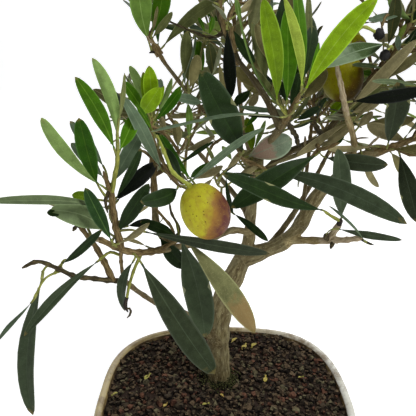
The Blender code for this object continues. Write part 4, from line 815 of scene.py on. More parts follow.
# Leaves: rows of points along the petiole and the blade, and their sizes. MIDWAY is the part
# of the half width where the blade's line bends, and MARGIN_ROLL how far its margins roll
# down. What varies from leaf to leaf follows: widest place, bluntness, fold, height and number
# of ripples, lengthwise wave, and twist in degrees.
PETIOLE_ROWS = 4
BLADE_ROWS = 13
PETIOLE_LENGTH = 0.0042
PETIOLE_REACH = 1.4
PETIOLE_RADIUS = 0.00046
BLADE_THICKNESS = 0.00048
THINNEST_HALF = 0.00012
RIB_HALF_WIDTH = 0.00024
MIDWAY = 0.58
MARGIN_ROLL = 0.2
BLADE_WIDEST = (0.48, 0.62)
BLADE_BLUNT = (0.5, 0.72)
BLADE_FOLDS = (0.18, 0.48)
BLADE_RIPPLES = (0.0, 0.1)
RIPPLE_NUMBERS = (9, 15)
BLADE_WAVE = 0.012
BLADE_TWIST = 16

# The seeded rule: side twigs a golden turn apart along a stem, finer twigs off those, and
# crossed pairs of leaves, all shorter towards the tip. Ranges are (least, most), and angles are
# in degrees. CLEARANCE is kept to all that is placed. Sights from the camera stay open
# SIGHT_SPACING apart, and to OPEN_WIDTH of each shown leaf.
GOLDEN_TURN = 137.5
SIDE_TWIG_PLACES = (0.10, 0.97)
SIDE_TWIG_LENGTHS = (0.75, 1.15)
SIDE_TWIG_FORWARD = 0.55
SIDE_TWIG_RISE = 0.22
SIDE_TWIG_TAPER = 0.75
SIDE_TWIG_FIRST = 1.15
SIDE_TWIG_LOST_TO_TIP = 0.4
PROBE_WIDTH = 1.3
FINER_TWIGS = 3
FINER_TWIG_PART = 0.62
NODE_SPACING = 0.0072
LAST_LEAVES = 0.985
LEAF_LEANS = (34, 62)
LEAF_LEAN_LOST_TO_TIP = 18
LEAF_TURN_SPREAD = 14
LEAF_RISES = (-0.22, 0.12)
LEAF_LENGTHS = (0.62, 1.02)
LEAF_FIRST = 1.05
LEAF_LOST_TO_TIP = 0.3
LEAF_TILT = 0.35
LEAF_ARCHES = (-0.02, 0.08)
LEAF_SWEEPS = (-0.05, 0.05)
LEAF_TO_WIDTH = (0.17, 0.25)
LEAF_TRIES = (1.0, 0.82, 0.66)
CLEARANCE = 0.0005
SIGHT_SPACING = 0.0022
SIGHT_SHORTFALL = 0.002
OPEN_WIDTH = 0.8
SIGHT_REACH = 1.0
GROWN_KINDS = ("dark", "dark", "slate", "deep", "olive", "brown", "tan", "tan", "grey", "mid")

# Materials


def tone(code):
    """Linear colour of a six-figure sRGB code."""
    parts = [int(code[index : index + 2], 16) / 255 for index in (0, 2, 4)]
    return tuple(part / 12.92 if part <= 0.04045 else ((part + 0.055) / 1.055) ** 2.4 for part in parts)


def shaded(colour, factor):
    return tuple(part * factor for part in colour)


def opaque(colour):
    """A colour with its alpha, from an sRGB code, a linear colour or a grey."""
    if isinstance(colour, str):
        colour = tone(colour)
    elif not isinstance(colour, tuple):
        colour = (colour,) * 3
    return (*colour, 1)


class Finish:
    """A material under construction: its node tree and its Principled shader."""

    def __init__(self, name, roughness, **values):
        self.material = bpy.data.materials.new(name)
        self.material.use_nodes = True
        self.tree = self.material.node_tree
        self.inputs = self.tree.nodes["Principled BSDF"].inputs
        self.inputs["Roughness"].default_value = roughness
        for socket, value in values.items():
            self.inputs[socket.replace("_", " ")].default_value = value

    def feed(self, socket, value):
        """Links an input to another node's output, or sets it to a number or a colour."""
        if isinstance(value, bpy.types.NodeSocket):
            self.tree.links.new(value, socket)
        else:
            socket.default_value = opaque(value) if socket.type == "RGBA" else value

    def node(self, kind, inputs, **settings):
        """A new node with its settings, and its inputs by name or number."""
        node = self.tree.nodes.new(kind)
        for name, value in settings.items():
            setattr(node, name, value)
        for key, value in inputs.items():
            self.feed(node.inputs[key], value)
        return node

    def attribute(self, name, output="Fac"):
        return self.node("ShaderNodeAttribute", {}, attribute_name=name).outputs[output]

    def place(self, scale=(1, 1, 1), attribute=None):
        """Object coordinates, or a vector attribute of the mesh, scaled per axis."""
        if attribute:
            source = self.attribute(attribute, "Vector")
        else:
            source = self.node("ShaderNodeTexCoord", {}).outputs["Object"]
        return self.node("ShaderNodeMapping", {"Vector": source, "Scale": scale}).outputs["Vector"]

    def parts(self, vector):
        return self.node("ShaderNodeSeparateXYZ", {"Vector": vector}).outputs

    def math(self, operation, *values):
        return self.node("ShaderNodeMath", dict(enumerate(values)), operation=operation).outputs["Value"]

    def noise(self, place, scale, detail=3.0, roughness=0.55, distortion=0.0):
        inputs = {"Vector": place, "Scale": scale, "Detail": detail, "Roughness": roughness}
        return self.node("ShaderNodeTexNoise", {**inputs, "Distortion": distortion}).outputs["Fac"]

    def cells(self, place, scale):
        """Distance to the nearest of scattered points, about 0 at each of them."""
        return self.node("ShaderNodeTexVoronoi", {"Vector": place, "Scale": scale}).outputs["Distance"]

    def spread(self, value, first, last, least=0.0, most=1.0):
        """A value's run from first to last, stretched to run from least to most."""
        inputs = {"Value": value, "From Min": first, "From Max": last, "To Min": least, "To Max": most}
        return self.node("ShaderNodeMapRange", inputs).outputs["Result"]

    def ramp(self, value, *stops):
        """Colours or greys by a value, each stop a (position, colour) pair."""
        node = self.node("ShaderNodeValToRGB", {"Fac": value})
        points = node.color_ramp.elements
        while len(points) < len(stops):
            points.new(0.5)
        for point, (position, colour) in zip(points, stops):
            point.position = position
            point.color = opaque(colour)
        return node.outputs["Color"]

    def mix(self, factor, first, second, how="MIX"):
        inputs = {0: factor, 6: first, 7: second}
        return self.node("ShaderNodeMix", inputs, data_type="RGBA", blend_type=how).outputs[2]

    def marked(self, body, colour, value, *stops):
        """A body colour, covered by another as far as a value's ramp says."""
        return self.mix(self.ramp(value, *stops), body, colour)

    def colour(self, value):
        self.feed(self.inputs["Base Color"], value)

    def rough(self, value, least, most):
        self.feed(self.inputs["Roughness"], self.spread(value, 0, 1, least, most))

    def bump(self, value, depth, strength):
        """Relief of about the given depth in metres, on top of any earlier one."""
        inputs = {"Strength": strength, "Distance": depth, "Height": value}
        normal = self.inputs["Normal"]
        if normal.links:
            inputs["Normal"] = normal.links[0].from_socket
        self.feed(normal, self.node("ShaderNodeBump", inputs).outputs["Normal"])


def blade_finish(name, colour, roughness, speckle, gloss, patch=None):
    """Leathery leaf surface: each leaf a little lighter or darker, with faint blotches, pale
    specks, a pale margin, a browned tip and side veins in low relief. A patch is a colour that
    takes over between two parts of the leaf's length.
    """
    finish = Finish(name, roughness, Specular_IOR_Level=gloss)
    place = finish.place(attribute="grain")
    blotches = finish.noise(place, 260, 4.0, 0.6)
    body = finish.ramp(blotches, (0.34, shaded(colour, 0.78)), (0.66, shaded(colour, 1.18)))
    across, along, luck = finish.parts(finish.attribute("spot", "Vector"))
    body = finish.mix(1.0, body, finish.ramp(luck, (0.0, 0.78), (1.0, 1.25)), "MULTIPLY")
    ragged = finish.math("MULTIPLY_ADD", finish.noise(place, 420), 0.24, along)
    ragged = finish.spread(ragged, 0.12, 1.12)
    if patch:
        code, first, last = patch
        stops = ((first, 0.0), (first + 0.10, 0.85), (last - 0.10, 0.85), (last, 0.0))
        body = finish.marked(body, code, ragged, *stops)
    body = finish.marked(body, "6f6238", ragged, (0.955, 0.0), (1.0, 0.7))
    pale = tuple(0.035 + 1.9 * part for part in colour)
    body = finish.marked(body, pale, finish.math("ABSOLUTE", across), (0.82, 0.0), (1.0, 0.8))
    body = finish.marked(body, pale, finish.noise(place, 2400, 2.0), (0.58, 0.0), (0.72, speckle))
    finish.colour(body)
    finish.rough(finish.noise(place, 700), roughness - 0.08, roughness + 0.12)
    finish.bump(finish.noise(finish.place((260, 1500, 260), "grain"), 1.0, 1.0), 0.00012, 0.35)
    return finish.material


def leaf_finishes():
    """Materials of every kind of leaf: (upper face, underside, midrib)."""
    finishes = {}
    for kind, (upper, under, rib) in LEAF_COLOURS.items():
        patch = LEAF_PATCHES.get(kind)
        finishes[kind] = (
            blade_finish(f"leaf_{kind}_upper", tone(upper), 0.45, 0.35, 0.07, patch),
            blade_finish(f"leaf_{kind}_under", tone(under), 0.70, 0.45, 0.05, patch),
            blade_finish(f"leaf_{kind}_rib", tone(rib), 0.55, 0.0, 0.06),
        )
    return finishes


def bark_finish():
    """Olive bark: grey-olive on the trunk and browner on thin boughs, furrowed and flecked."""
    finish = Finish("bark", 0.82, Specular_IOR_Level=0.25)
    even = finish.place(attribute="grain")
    streaks = finish.noise(finish.place((1, 1, 0.22), "grain"), 900, 5.0, 0.62, 0.4)
    thick = finish.ramp(finish.attribute("girth"), (0.18, 0.0), (0.50, 1.0))
    young = finish.ramp(streaks, (0.26, "3f3019"), (0.48, "6f5f3e"), (0.70, "948663"))
    old = finish.ramp(streaks, (0.26, "3d3018"), (0.48, "746946"), (0.70, "a0966e"))
    wood = finish.mix(thick, young, old)
    wood = finish.marked(wood, "847e60", finish.noise(even, 120), (0.46, 0.0), (0.66, 0.45))
    stains = finish.noise(finish.place((1, 1, 0.3), "grain"), 210)
    wood = finish.marked(wood, "4a3a1e", stains, (0.50, 0.0), (0.68, 0.6))
    shade = finish.ramp(finish.attribute("shade"), (0.0, 0.40), (0.5, 0.95), (1.0, 1.6))
    wood = finish.mix(1.0, wood, shade, "MULTIPLY")
    lenticels = finish.cells(finish.place((1, 1, 0.6), "grain"), 620)
    lenticels = finish.ramp(lenticels, (0.10, 1.0), (0.17, 0.0))
    wood = finish.mix(lenticels, wood, "a09674")
    finish.colour(finish.marked(wood, "3a2f1a", finish.noise(even, 1500, 4.0), (0.33, 0.6), (0.41, 0.0)))
    finish.bump(streaks, 0.0005, 0.6)
    finish.bump(finish.noise(even, 2600), 0.00016, 0.6)
    finish.bump(lenticels, 0.00012, 0.8)
    return finish.material


def twig_finish(name, dark, base, light, roughness):
    """Thin bark: lengthwise streaks and fine specks."""
    finish = Finish(name, roughness, Specular_IOR_Level=0.3)
    streaks = finish.noise(finish.place((1, 1, 0.2), "grain"), 1500, 4.0, 0.6)
    body = finish.ramp(streaks, (0.30, dark), (0.48, base), (0.66, light))
    specks = finish.cells(finish.place(attribute="grain"), 1100)
    finish.colour(finish.marked(body, light, specks, (0.12, 0.7), (0.20, 0.0)))
    finish.bump(streaks, 0.0003, 0.5)
    return finish.material


def olive_finish(name, green, ripe, dark, ripe_from, ripe_to):
    """Olive skin that ripens from one side to the other, with pores, freckles and a soft gloss."""
    values = {"Specular_IOR_Level": 0.08, "Coat_Weight": 0.02, "Coat_Roughness": 0.35}
    finish = Finish(name, 0.5, **values, Subsurface_Weight=0.02, Subsurface_Radius=(0.004, 0.002, 0.001))
    place = finish.place()
    across, _, upward = finish.parts(finish.place((1 / 0.02, 1 / 0.02, 1 / 0.02)))
    lean = finish.math("MULTIPLY_ADD", upward, -0.85, across)
    cloud = finish.math("MULTIPLY_ADD", finish.noise(place, 190, 4.0, 0.6), 0.5, lean)
    ripening = ((0.0, green), (0.45, green), (0.62, ripe), (0.80, dark), (1.0, dark))
    skin = finish.ramp(finish.spread(cloud, ripe_from, ripe_to), *ripening)
    skin = finish.marked(skin, ripe, finish.noise(place, 420), (0.42, 0.0), (0.70, 0.4))
    scuffs = finish.noise(finish.place((1, 1, 0.25)), 900, 4.0, 0.7)
    skin = finish.marked(skin, "6a4c26", scuffs, (0.55, 0.0), (0.70, 0.4))
    skin = finish.marked(skin, "cbbf6a", finish.cells(place, 1000), (0.09, 0.35), (0.17, 0.0))
    freckles = finish.cells(finish.place((1, 1.1, 0.9)), 520)
    finish.colour(finish.marked(skin, "4f3418", freckles, (0.09, 0.8), (0.17, 0.0)))
    finish.bump(finish.noise(place, 330), 0.0005, 0.35)
    finish.bump(finish.cells(place, 900), 0.00012, 0.3)
    return finish.material


def berry_finish():
    """A berry dried to a black, wrinkled skin."""
    finish = Finish("dried_berry", 0.7)
    wrinkles = finish.noise(finish.place(), 900, 4.0, 0.65)
    finish.colour(finish.ramp(wrinkles, (0.35, "060504"), (0.65, "1c1917")))
    finish.bump(wrinkles, 0.0006, 0.8)
    return finish.material


def glaze_finish():
    """Cream glaze, a darker yellow on the left towards the rim, specked, and worn brown along the lip."""
    finish = Finish("glaze", 0.3, Coat_Weight=0.3, Coat_Roughness=0.15)
    place = finish.place()
    patches = finish.noise(place, 22, 4.0, 0.6)
    body = finish.ramp(patches, (0.34, "cfcdbf"), (0.52, "e4e4dc"), (0.68, "f3f3ef"))
    body = finish.marked(body, "8d7748", finish.cells(place, 420), (0.05, 0.6), (0.10, 0.0))
    across, along, height = finish.parts(place)
    side = finish.spread(finish.math("MULTIPLY_ADD", along, -0.7, across), -0.05, 0.05)
    left = finish.ramp(side, (0.0, 0.95), (1.0, 0.0))
    upper = finish.ramp(finish.spread(height, POT_HEIGHT - 0.03, POT_HEIGHT), (0.0, 0.35), (0.9, 1.0))
    body = finish.mix(finish.math("MULTIPLY", left, upper), body, "b09c62")
    wear = finish.ramp(finish.noise(place, 95, 5.0, 0.68), (0.46, 0.0), (0.62, 0.9))
    lip = finish.ramp(finish.spread(height, POT_HEIGHT - 0.012, POT_HEIGHT), (0.35, 0.0), (0.85, 0.85))
    finish.colour(finish.mix(finish.math("MULTIPLY", wear, lip), body, "755c34"))
    finish.rough(finish.noise(place, 160), 0.22, 0.42)
    finish.bump(finish.noise(place, 60, 2.0), 0.0006, 0.25)
    return finish.material


def stain_finish():
    """Inside of the pot's wall, browned by the soil."""
    finish = Finish("stained_glaze", 0.6)
    marks = finish.noise(finish.place((1, 1, 0.5)), 120, 5.0, 0.65)
    finish.colour(finish.ramp(marks, (0.32, "2b2218"), (0.50, "5a4629"), (0.68, "a28a58")))
    finish.bump(marks, 0.0004, 0.4)
    return finish.material


def grain_finish(name, dark, base, light):
    """Rough surface of one kind of soil granule, dusty, and drawn lighter on top and darker on its sides as
    painted light.
    """
    finish = Finish(name, 0.92, Specular_IOR_Level=0.2)
    dust = finish.noise(finish.place(), 1100, 5.0, 0.68)
    # Painted light: a face is drawn lighter the more it points up, as if lit from above
    _, _, upward = finish.parts(finish.node("ShaderNodeNewGeometry", {}).outputs["Normal"])
    upward = finish.spread(upward, 0.0, 1.0, 0.0, 0.42)
    dust_and_painted_light = finish.math("MULTIPLY_ADD", dust, 0.6, upward)
    finish.colour(finish.ramp(dust_and_painted_light, (0.38, dark), (0.56, base), (0.76, light)))
    finish.bump(dust, 0.0004, 0.8)
    return finish.material


def floor_finish():
    values = {"Base_Color": opaque("fbfbfa"), "Emission_Color": opaque(1), "Emission_Strength": FLOOR_GLOW}
    return Finish("studio_floor", 0.9, Specular_IOR_Level=0.1, **values).material


# Meshes


class Batch:
    """Rings and faces gathered into one joined piece, with a material for every face."""

    def __init__(self):
        self.points = []
        self.grain = []
        self.spots = []
        self.faces = []
        self.face_slots = []
        self.materials = []
        self.count = 0

    def slot(self, material):
        if material not in self.materials:
            self.materials.append(material)
        return self.materials.index(material)

    def add(self, points, faces, materials, grain=None, spots=None):
        """Adds points and faces, with one material for all faces or a list of one for each."""
        base = self.count
        self.points.append(points)
        self.grain.append(points if grain is None else grain)
        self.spots.append(np.zeros(points.shape) if spots is None else spots)
        self.faces.extend([tuple(base + corner for corner in face) for face in faces])
        if isinstance(materials, list):
            self.face_slots.extend(self.slot(material) for material in materials)
        else:
            self.face_slots.extend([self.slot(materials)] * len(faces))
        self.count += len(points)

    def build(self, name, sharp=60):
        mesh = bpy.data.meshes.new(name)
        mesh.from_pydata(np.concatenate(self.points).tolist(), [], self.faces)
        for material in self.materials:
            mesh.materials.append(material)
        mesh.polygons.foreach_set("material_index", self.face_slots)
        for name_of, values in (("grain", self.grain), ("spot", self.spots)):
            attribute = mesh.attributes.new(name_of, "FLOAT_VECTOR", "POINT")
            attribute.data.foreach_set("vector", np.concatenate(values).astype(np.float32).ravel())
        mesh.shade_smooth()
        mesh.set_sharp_from_angle(angle=math.radians(sharp))
        mesh.update()
        return add_object(name, mesh)


def add_object(name, data):
    obj = bpy.data.objects.new(name, data)
    bpy.context.scene.collection.objects.link(obj)
    return obj


def dressed(obj, slot, *nodes):
    """Rides a finished piece on the part, and hides the nodes it stands for. Its material slot is not used.
    """
    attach(obj, "root")
    if nodes:
        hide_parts(*nodes)


def unit(vector):
    return vector / np.linalg.norm(vector, axis=-1, keepdims=True)


def smooth_line(points, steps=8):
    """A Catmull-Rom line through the points, with the given number of steps between two."""
    points = np.asarray([tuple(point) for point in points], dtype=float)
    ends = np.vstack((points[0] * 2 - points[1], points, points[-1] * 2 - points[-2]))
    t = (np.arange(steps) / steps)[:, None]
    spans = [
        (b * 2 + (c - a) * t + (a * 2 - b * 5 + c * 4 - d) * t**2 + (b * 3 - a - c * 3 + d) * t**3) / 2
        for a, b, c, d in zip(ends, ends[1:], ends[2:], ends[3:])
    ]
    return np.vstack((*spans, points[-1:]))


def run_lengths(line):
    return np.concatenate(((0.0,), np.cumsum(np.linalg.norm(np.diff(line, axis=0), axis=1))))


def evenly(line, spacing, *values):
    """The line resampled at about the given spacing, with values along it resampled too."""
    run = run_lengths(line)
    count = max(3, round(run[-1] / spacing) + 1)
    goals = np.linspace(0, run[-1], count)
    even = np.stack([np.interp(goals, run, line[:, axis]) for axis in range(3)], axis=1)
    return (even, goals, *(np.interp(goals, run, value) for value in values))


def place_on(line, part):
    """The point and the direction at a part of a line's length, from 0 to 1."""
    run = run_lengths(line)
    goal = run[-1] * min(max(part, 0.0), 1.0)
    index = min(int(np.searchsorted(run, goal, side="right")) - 1, len(line) - 2)
    direction = unit(line[index + 1] - line[index])
    return line[index] + direction * (goal - run[index]), direction


def turned(vector, axis, degrees):
    return np.array(Matrix.Rotation(math.radians(degrees), 3, Vector(axis)) @ Vector(vector))


def upright_about(direction, degrees):
    """A direction square to the given one, turned round it from the one nearest to vertical."""
    up = np.array((0, 0, 1.0)) if abs(direction[2]) < 0.95 else np.array((0, 1.0, 0))
    square = unit(up - direction * up.dot(direction))
    return turned(square, direction, degrees)


def frames(line):
    """Tangent, side and top at each point of a line, turning as little as they can."""
    tangents = unit(np.gradient(line, axis=0))
    side = upright_about(tangents[0], 90)
    sides = []
    for tangent in tangents:
        side = unit(side - tangent * side.dot(tangent))
        sides.append(side)
    sides = np.array(sides)
    return tangents, sides, np.cross(tangents, sides)


def ring_faces(rings, sides):
    """Quads between rings of points, with a flat cap at each end. The caps come last."""
    faces = []
    for ring in range(rings - 1):
        low, high = ring * sides, (ring + 1) * sides
        for side in range(sides):
            after = (side + 1) % sides
            faces.append((low + side, low + after, high + after, high + side))
    last = (rings - 1) * sides
    faces.append(tuple(range(sides - 1, -1, -1)))
    faces.append(tuple(range(last, last + sides)))
    return faces


def swept(line, radii, sides):
    """Points of a round tube along a line, with their places along and round it as grain."""
    _, side, top = frames(line)
    angles = np.arange(sides) * math.tau / sides
    across = (np.cos(angles) * radii[:, None])[:, :, None]
    along = (np.sin(angles) * radii[:, None])[:, :, None]
    points = line[:, None, :] + side[:, None, :] * across + top[:, None, :] * along
    run = np.broadcast_to(run_lengths(line)[:, None, None], across.shape)
    grain = np.concatenate((across, along, run), axis=2)
    return points.reshape(-1, 3), grain.reshape(-1, 3)


def swollen(run, radii, nodes, height=NODE_SWELL, width=NODE_WIDTH):
    """Radii with a low swelling at each node's place along the line."""
    bulge = sum(np.exp(-(((run - node) / width) ** 2)) for node in nodes) if len(nodes) else 0.0
    return radii * (1 + height * bulge)


def wandered(line, scale):
    """How far, from -1 to 1 on each axis, each point of a line wanders."""
    return np.array([noise.noise_vector(Vector(point) * scale) for point in line])


def box_of(points):
    return points.min(axis=0), points.max(axis=0)


def tree_of(points, faces):
    return BVHTree.FromPolygons(points.tolist(), faces)


# Wood


def limb_lines():
    """Centre line and radii of the trunk and of every limb, each starting inside its parent."""
    trunk = smooth_line([point for point, _ in TRUNK_LINE])
    spots = np.linspace(0, 1, len(TRUNK_LINE))
    radii = np.interp(np.linspace(0, 1, len(trunk)), spots, [radius for _, radius in TRUNK_LINE])
    lines = {"trunk": (trunk, radii)}
    for name, (parent, place, points, first, last) in LIMBS.items():
        parent_line, _ = lines[parent]
        start = FORK if place is None else place_on(parent_line, place)[0]
        line = smooth_line([start, *points])
        run = run_lengths(line)
        radii = np.interp(run, (0, run[-1]), (first, last))
        collar = 1 + COLLAR_SWELL * np.exp(-((run / (first * COLLAR_REACH)) ** 2))
        lines[name] = (line, radii * (collar if place != 1 else 1))
    return lines


def make_wood(lines, material):
    """Trunk, limbs and boughs as one skin: fused by remeshing, softened and given its relief."""
    chance = random.Random(WOOD_SEED)
    batch = Batch()
    samples = []
    for name, (line, radii) in lines.items():
        even, run, girth = evenly(line, RING_SPACING, radii)
        wander = wandered(even, WOOD_WANDER_SCALE) * WOOD_WANDER
        fade = np.minimum(1, np.minimum(run, run[-1] - run) / WANDER_FADE)[:, None]
        even = even + wander * fade * (TRUNK_WANDER_PART if name == "trunk" else 1.0)
        last_node = run[-1] - TIP_WITHOUT_NODES
        nodes = np.arange(chance.uniform(*FIRST_NODES), last_node, chance.uniform(*NODE_STEPS))
        swell = TRUNK_NODE_SWELL if name == "trunk" else NODE_SWELL
        girth = swollen(run, girth, nodes, swell, girth.mean() * 1.1)
        points, _ = swept(even, girth, WOOD_SIDES)
        batch.add(points, ring_faces(len(even), WOOD_SIDES), material)
        tangents, sides, tops = frames(even)
        shade = [WOOD_SHADES.get(name, WOOD_SHADE)] * len(run)
        samples += list(zip(even, tangents, sides, tops, run, girth, shade))
    rough = batch.build("wood_rough")
    remesh = rough.modifiers.new("fuse", "REMESH")
    remesh.mode = "VOXEL"
    remesh.voxel_size = WOOD_VOXEL
    soften = rough.modifiers.new("soften", "SMOOTH")
    soften.factor = SOFTEN_FACTOR
    soften.iterations = SOFTEN_PASSES
    bpy.context.view_layer.update()
    graph = bpy.context.evaluated_depsgraph_get()
    mesh = bpy.data.meshes.new_from_object(rough.evaluated_get(graph))
    bpy.data.objects.remove(rough)
    mesh.name = "wood"
    add_relief(mesh, samples)
    mesh.materials.clear()
    mesh.materials.append(material)
    mesh.shade_smooth()
    return add_object("wood", mesh)


def add_relief(mesh, samples):
    """Moves a wood skin's points out and in by ridges along the grain and broad knobs."""
    nearest = KDTree(len(samples))
    for index, sample in enumerate(samples):
        nearest.insert(sample[0], index)
    nearest.balance()
    count = len(mesh.vertices)
    points = np.empty(count * 3)
    normals = np.empty(count * 3)
    mesh.vertices.foreach_get("co", points)
    mesh.vertex_normals.foreach_get("vector", normals)
    points = points.reshape(-1, 3)
    normals = normals.reshape(-1, 3)
    grain = np.empty((count, 3))
    girths = np.empty(count)
    shades = np.empty(count)
    lift = np.empty(count)
    for index, point in enumerate(points):
        centre, tangent, side, top, run, girth, shades[index] = samples[nearest.find(point)[1]]
        offset = point - centre
        place = (offset.dot(side), offset.dot(top), run + offset.dot(tangent))
        grain[index] = place
        girths[index] = girth
        ridges = noise.fractal(Vector(place) * Vector(RIDGE_SCALE), 0.9, 2.2, 3)
        knobs = noise.noise(Vector(point) * KNOB_SCALE)
        lift[index] = ridges * min(girth * RIDGE_DEPTH, RIDGE_MOST) + knobs * girth * KNOB_DEPTH
    points += normals * lift[:, None]
    points[:, 2] = np.maximum(points[:, 2], WOOD_FOOT)
    mesh.vertices.foreach_set("co", points.ravel())
    mesh.attributes.new("grain", "FLOAT_VECTOR", "POINT").data.foreach_set("vector", grain.ravel())
    for name, values in (("girth", np.clip(girths / THICK_GIRTH, 0, 1)), ("shade", shades)):
        mesh.attributes.new(name, "FLOAT", "POINT").data.foreach_set("value", values)
    mesh.update()


# Leaves


def blade_profile(t, widest, blunt):
    """Part of a blade's full width along it, with a slender foot and a rounded tip."""
    before = np.sin(np.clip(t / widest, 0, 1) * math.pi / 2) ** 1.1
    after = (1 - np.clip((t - widest) / (1 - widest), 0, 1) ** 2.3) ** blunt
    return np.where(t < widest, before, after)


def bent(start, bend, end, s):
    """Points of a curve from start to end that is drawn towards a bend, at parts s of it."""
    return start * (1 - s) ** 2 + bend * 2 * s * (1 - s) + end * s**2


def leaf_points(root, foot, tip, width, top, arch, sweep, chance):
    """Points, grain and spots of one leaf: a round petiole that runs on into a thin closed blade.

    The blade folds a little along its midrib, rolls down at its margins, waves and twists, and
    arches towards its upper face and sweeps to its left by a part of its length.
    """
    chord = tip - foot
    length = np.linalg.norm(chord)
    chord = chord / length
    top = unit(top - chord * top.dot(chord))
    side = np.cross(top, chord)
    turn = np.linspace(0, math.pi, BLADE_ROWS + 1)
    t = 0.35 * np.linspace(0, 1, BLADE_ROWS + 1) + 0.65 * (0.5 - 0.5 * np.cos(turn))
    bow = (4 * t * (1 - t) * length)[:, None]
    wave = chance.uniform(-BLADE_WAVE, BLADE_WAVE) * length * np.sin(t * math.tau)[:, None]
    line = foot + chord * length * t[:, None] + top * (arch * bow + wave) + side * sweep * bow
    tangent = unit(np.gradient(line, axis=0))
    twist = math.radians(chance.uniform(-BLADE_TWIST, BLADE_TWIST)) * (t - 0.4)[:, None]
    flat = unit(side - tangent * (tangent @ side)[:, None])
    square = np.cross(tangent, flat)
    across = flat * np.cos(twist) + square * np.sin(twist)
    upward = square * np.cos(twist) - flat * np.sin(twist)
    profile = blade_profile(t, chance.uniform(*BLADE_WIDEST), chance.uniform(*BLADE_BLUNT))
    half = np.maximum(width / 2 * profile, THINNEST_HALF)
    half[0] = PETIOLE_RADIUS * 1.1
    rib = np.minimum(RIB_HALF_WIDTH * (1.1 - 0.7 * t), half * 0.3)
    thick = np.minimum(BLADE_THICKNESS * (1 - 0.4 * t), half * 0.5)
    fold = chance.uniform(*BLADE_FOLDS)
    ripple = chance.uniform(*BLADE_RIPPLES)
    phase = chance.uniform(0, math.tau)
    waves = np.sin(t * chance.uniform(*RIPPLE_NUMBERS) + phase)
    columns = np.stack((-half, -half * MIDWAY, -rib, rib, half * MIDWAY, half), axis=1)
    share = np.abs(columns) / half[:, None]
    rise = fold * np.abs(columns) - MARGIN_ROLL * half[:, None] * share**4
    rise = rise + ripple * half[:, None] * share**2 * waves[:, None] * np.sign(columns)
    rise[:, 2:4] -= (thick * 0.12)[:, None]
    under = rise[:, 4:0:-1] - thick[:, None] * np.array((0.75, 1.0, 1.0, 0.75))
    under[:, 1:3] -= (rib * 0.55)[:, None]
    places = np.concatenate((columns, columns[:, 4:0:-1]), axis=1)
    heights = np.concatenate((rise, under), axis=1)
    blade = line[:, None, :] + across[:, None, :] * places[:, :, None]
    blade = blade + upward[:, None, :] * heights[:, :, None]
    luck = chance.random()
    along = np.broadcast_to(t[:, None], places.shape)
    blade_grain = np.stack((places, along * length, heights + luck), axis=2)
    blade_spots = np.stack((places / half[:, None], along, np.full(places.shape, luck)), axis=2)
    stalk = petiole_points(root, foot, tangent[0], across[0], upward[0])
    points = np.concatenate((stalk, blade)).reshape(-1, 3)
    grain = np.concatenate((stalk - root, blade_grain)).reshape(-1, 3)
    spots = np.concatenate((np.zeros(stalk.shape), blade_spots)).reshape(-1, 3)
    return points, grain, spots


def petiole_points(root, foot, tangent, side, top):
    """Rings of a petiole from its root on the twig to just before the blade's foot."""
    s = np.linspace(0, 1, PETIOLE_ROWS + 1)[:-1, None]
    line = bent(root, foot - tangent * np.linalg.norm(foot - root) * 0.55, foot, s)
    angles = np.radians((180, 144, 108, 72, 36, 0, -36, -72, -108, -144))
    swell = PETIOLE_RADIUS * (1 + 0.45 * (1 - s) ** 3)
    across = np.cos(angles) * swell
    height = np.sin(angles) * swell
    return line[:, None, :] + side * across[:, :, None] + top * height[:, :, None]


def leaf_pattern():
    """Faces of a leaf, and which of its four finishes each has: stalk, upper, under or rib."""
    faces = [face[::-1] for face in ring_faces(PETIOLE_ROWS + BLADE_ROWS + 1, 10)]
    row = ("upper", "upper", "rib", "upper", "upper", "under", "under", "under_rib", "under", "under")
    finishes = ["stalk"] * 10 * PETIOLE_ROWS + list(row) * BLADE_ROWS + ["stalk", "under"]
    return faces, finishes


def ribbon(foot, tip, width, top, arch, sweep):
    """Five crosswise rows of a leaf, to tell what it would touch or hide."""
    chord = tip - foot
    length = np.linalg.norm(chord)
    chord = chord / length
    top = unit(top - chord * top.dot(chord))
    side = np.cross(top, chord)
    t = np.array((0.08, 0.3, 0.52, 0.76, 1.0))[:, None]
    line = foot + chord * length * t + (top * arch + side * sweep) * 4 * t * (1 - t) * length
    half = width / 2 * np.array((0.35, 0.85, 1.0, 0.8, 0.05))[:, None] + CLEARANCE
    rows = np.stack((line - side * half, line + top * CLEARANCE, line + side * half), axis=1)
    return rows.reshape(-1, 3)


RIBBON_FACES = [
    (row * 3 + side, row * 3 + side + 1, row * 3 + side + 4, row * 3 + side + 3)
    for row in range(4)
    for side in range(2)
]


class Space:
    """What is already placed, and the sights that have to stay open to the camera."""

    def __init__(self):
        self.lows = []
        self.highs = []
        self.trees = []
        self.sights = []

    def add(self, points, faces):
        low, high = box_of(points)
        self.lows.append(low)
        self.highs.append(high)
        self.trees.append(tree_of(points, faces))

    def touches(self, points, faces):
        low, high = box_of(points)
        near = np.all((np.array(self.lows) <= high) & (np.array(self.highs) >= low), axis=1)
        tree = tree_of(points, faces)
        return any(tree.overlap(self.trees[index]) for index in np.flatnonzero(near))

    def keep_open(self, points, reach=None):
        """Adds sights from the camera to the points, or through them as far as a reach."""
        for point in points:
            away = point - CAMERA_PLACE
            distance = np.linalg.norm(away)
            length = distance - SIGHT_SHORTFALL if reach is None else reach
            self.sights.append((*(away / distance), length))

    def close_sights(self):
        self.sights = np.array(self.sights)

    def hides(self, points, faces):
        """Whether a piece would stand in the way of a sight."""
        rays = unit(points - CAMERA_PLACE)
        middle = unit(rays.mean(axis=0))
        spread = (rays @ middle).min()
        near = self.sights[:, :3] @ middle >= spread - 1e-4
        tree = tree_of(points, faces)
        origin = Vector(CAMERA_PLACE)
        return any(
            tree.ray_cast(origin, Vector(sight[:3]), sight[3])[0] is not None
            for sight in self.sights[near]
        )

    def blocks(self, points, faces):
        """Whether a piece has no room, or would stand in the way of a sight."""
        return self.touches(points, faces) or self.hides(points, faces)


# Masses of foliage


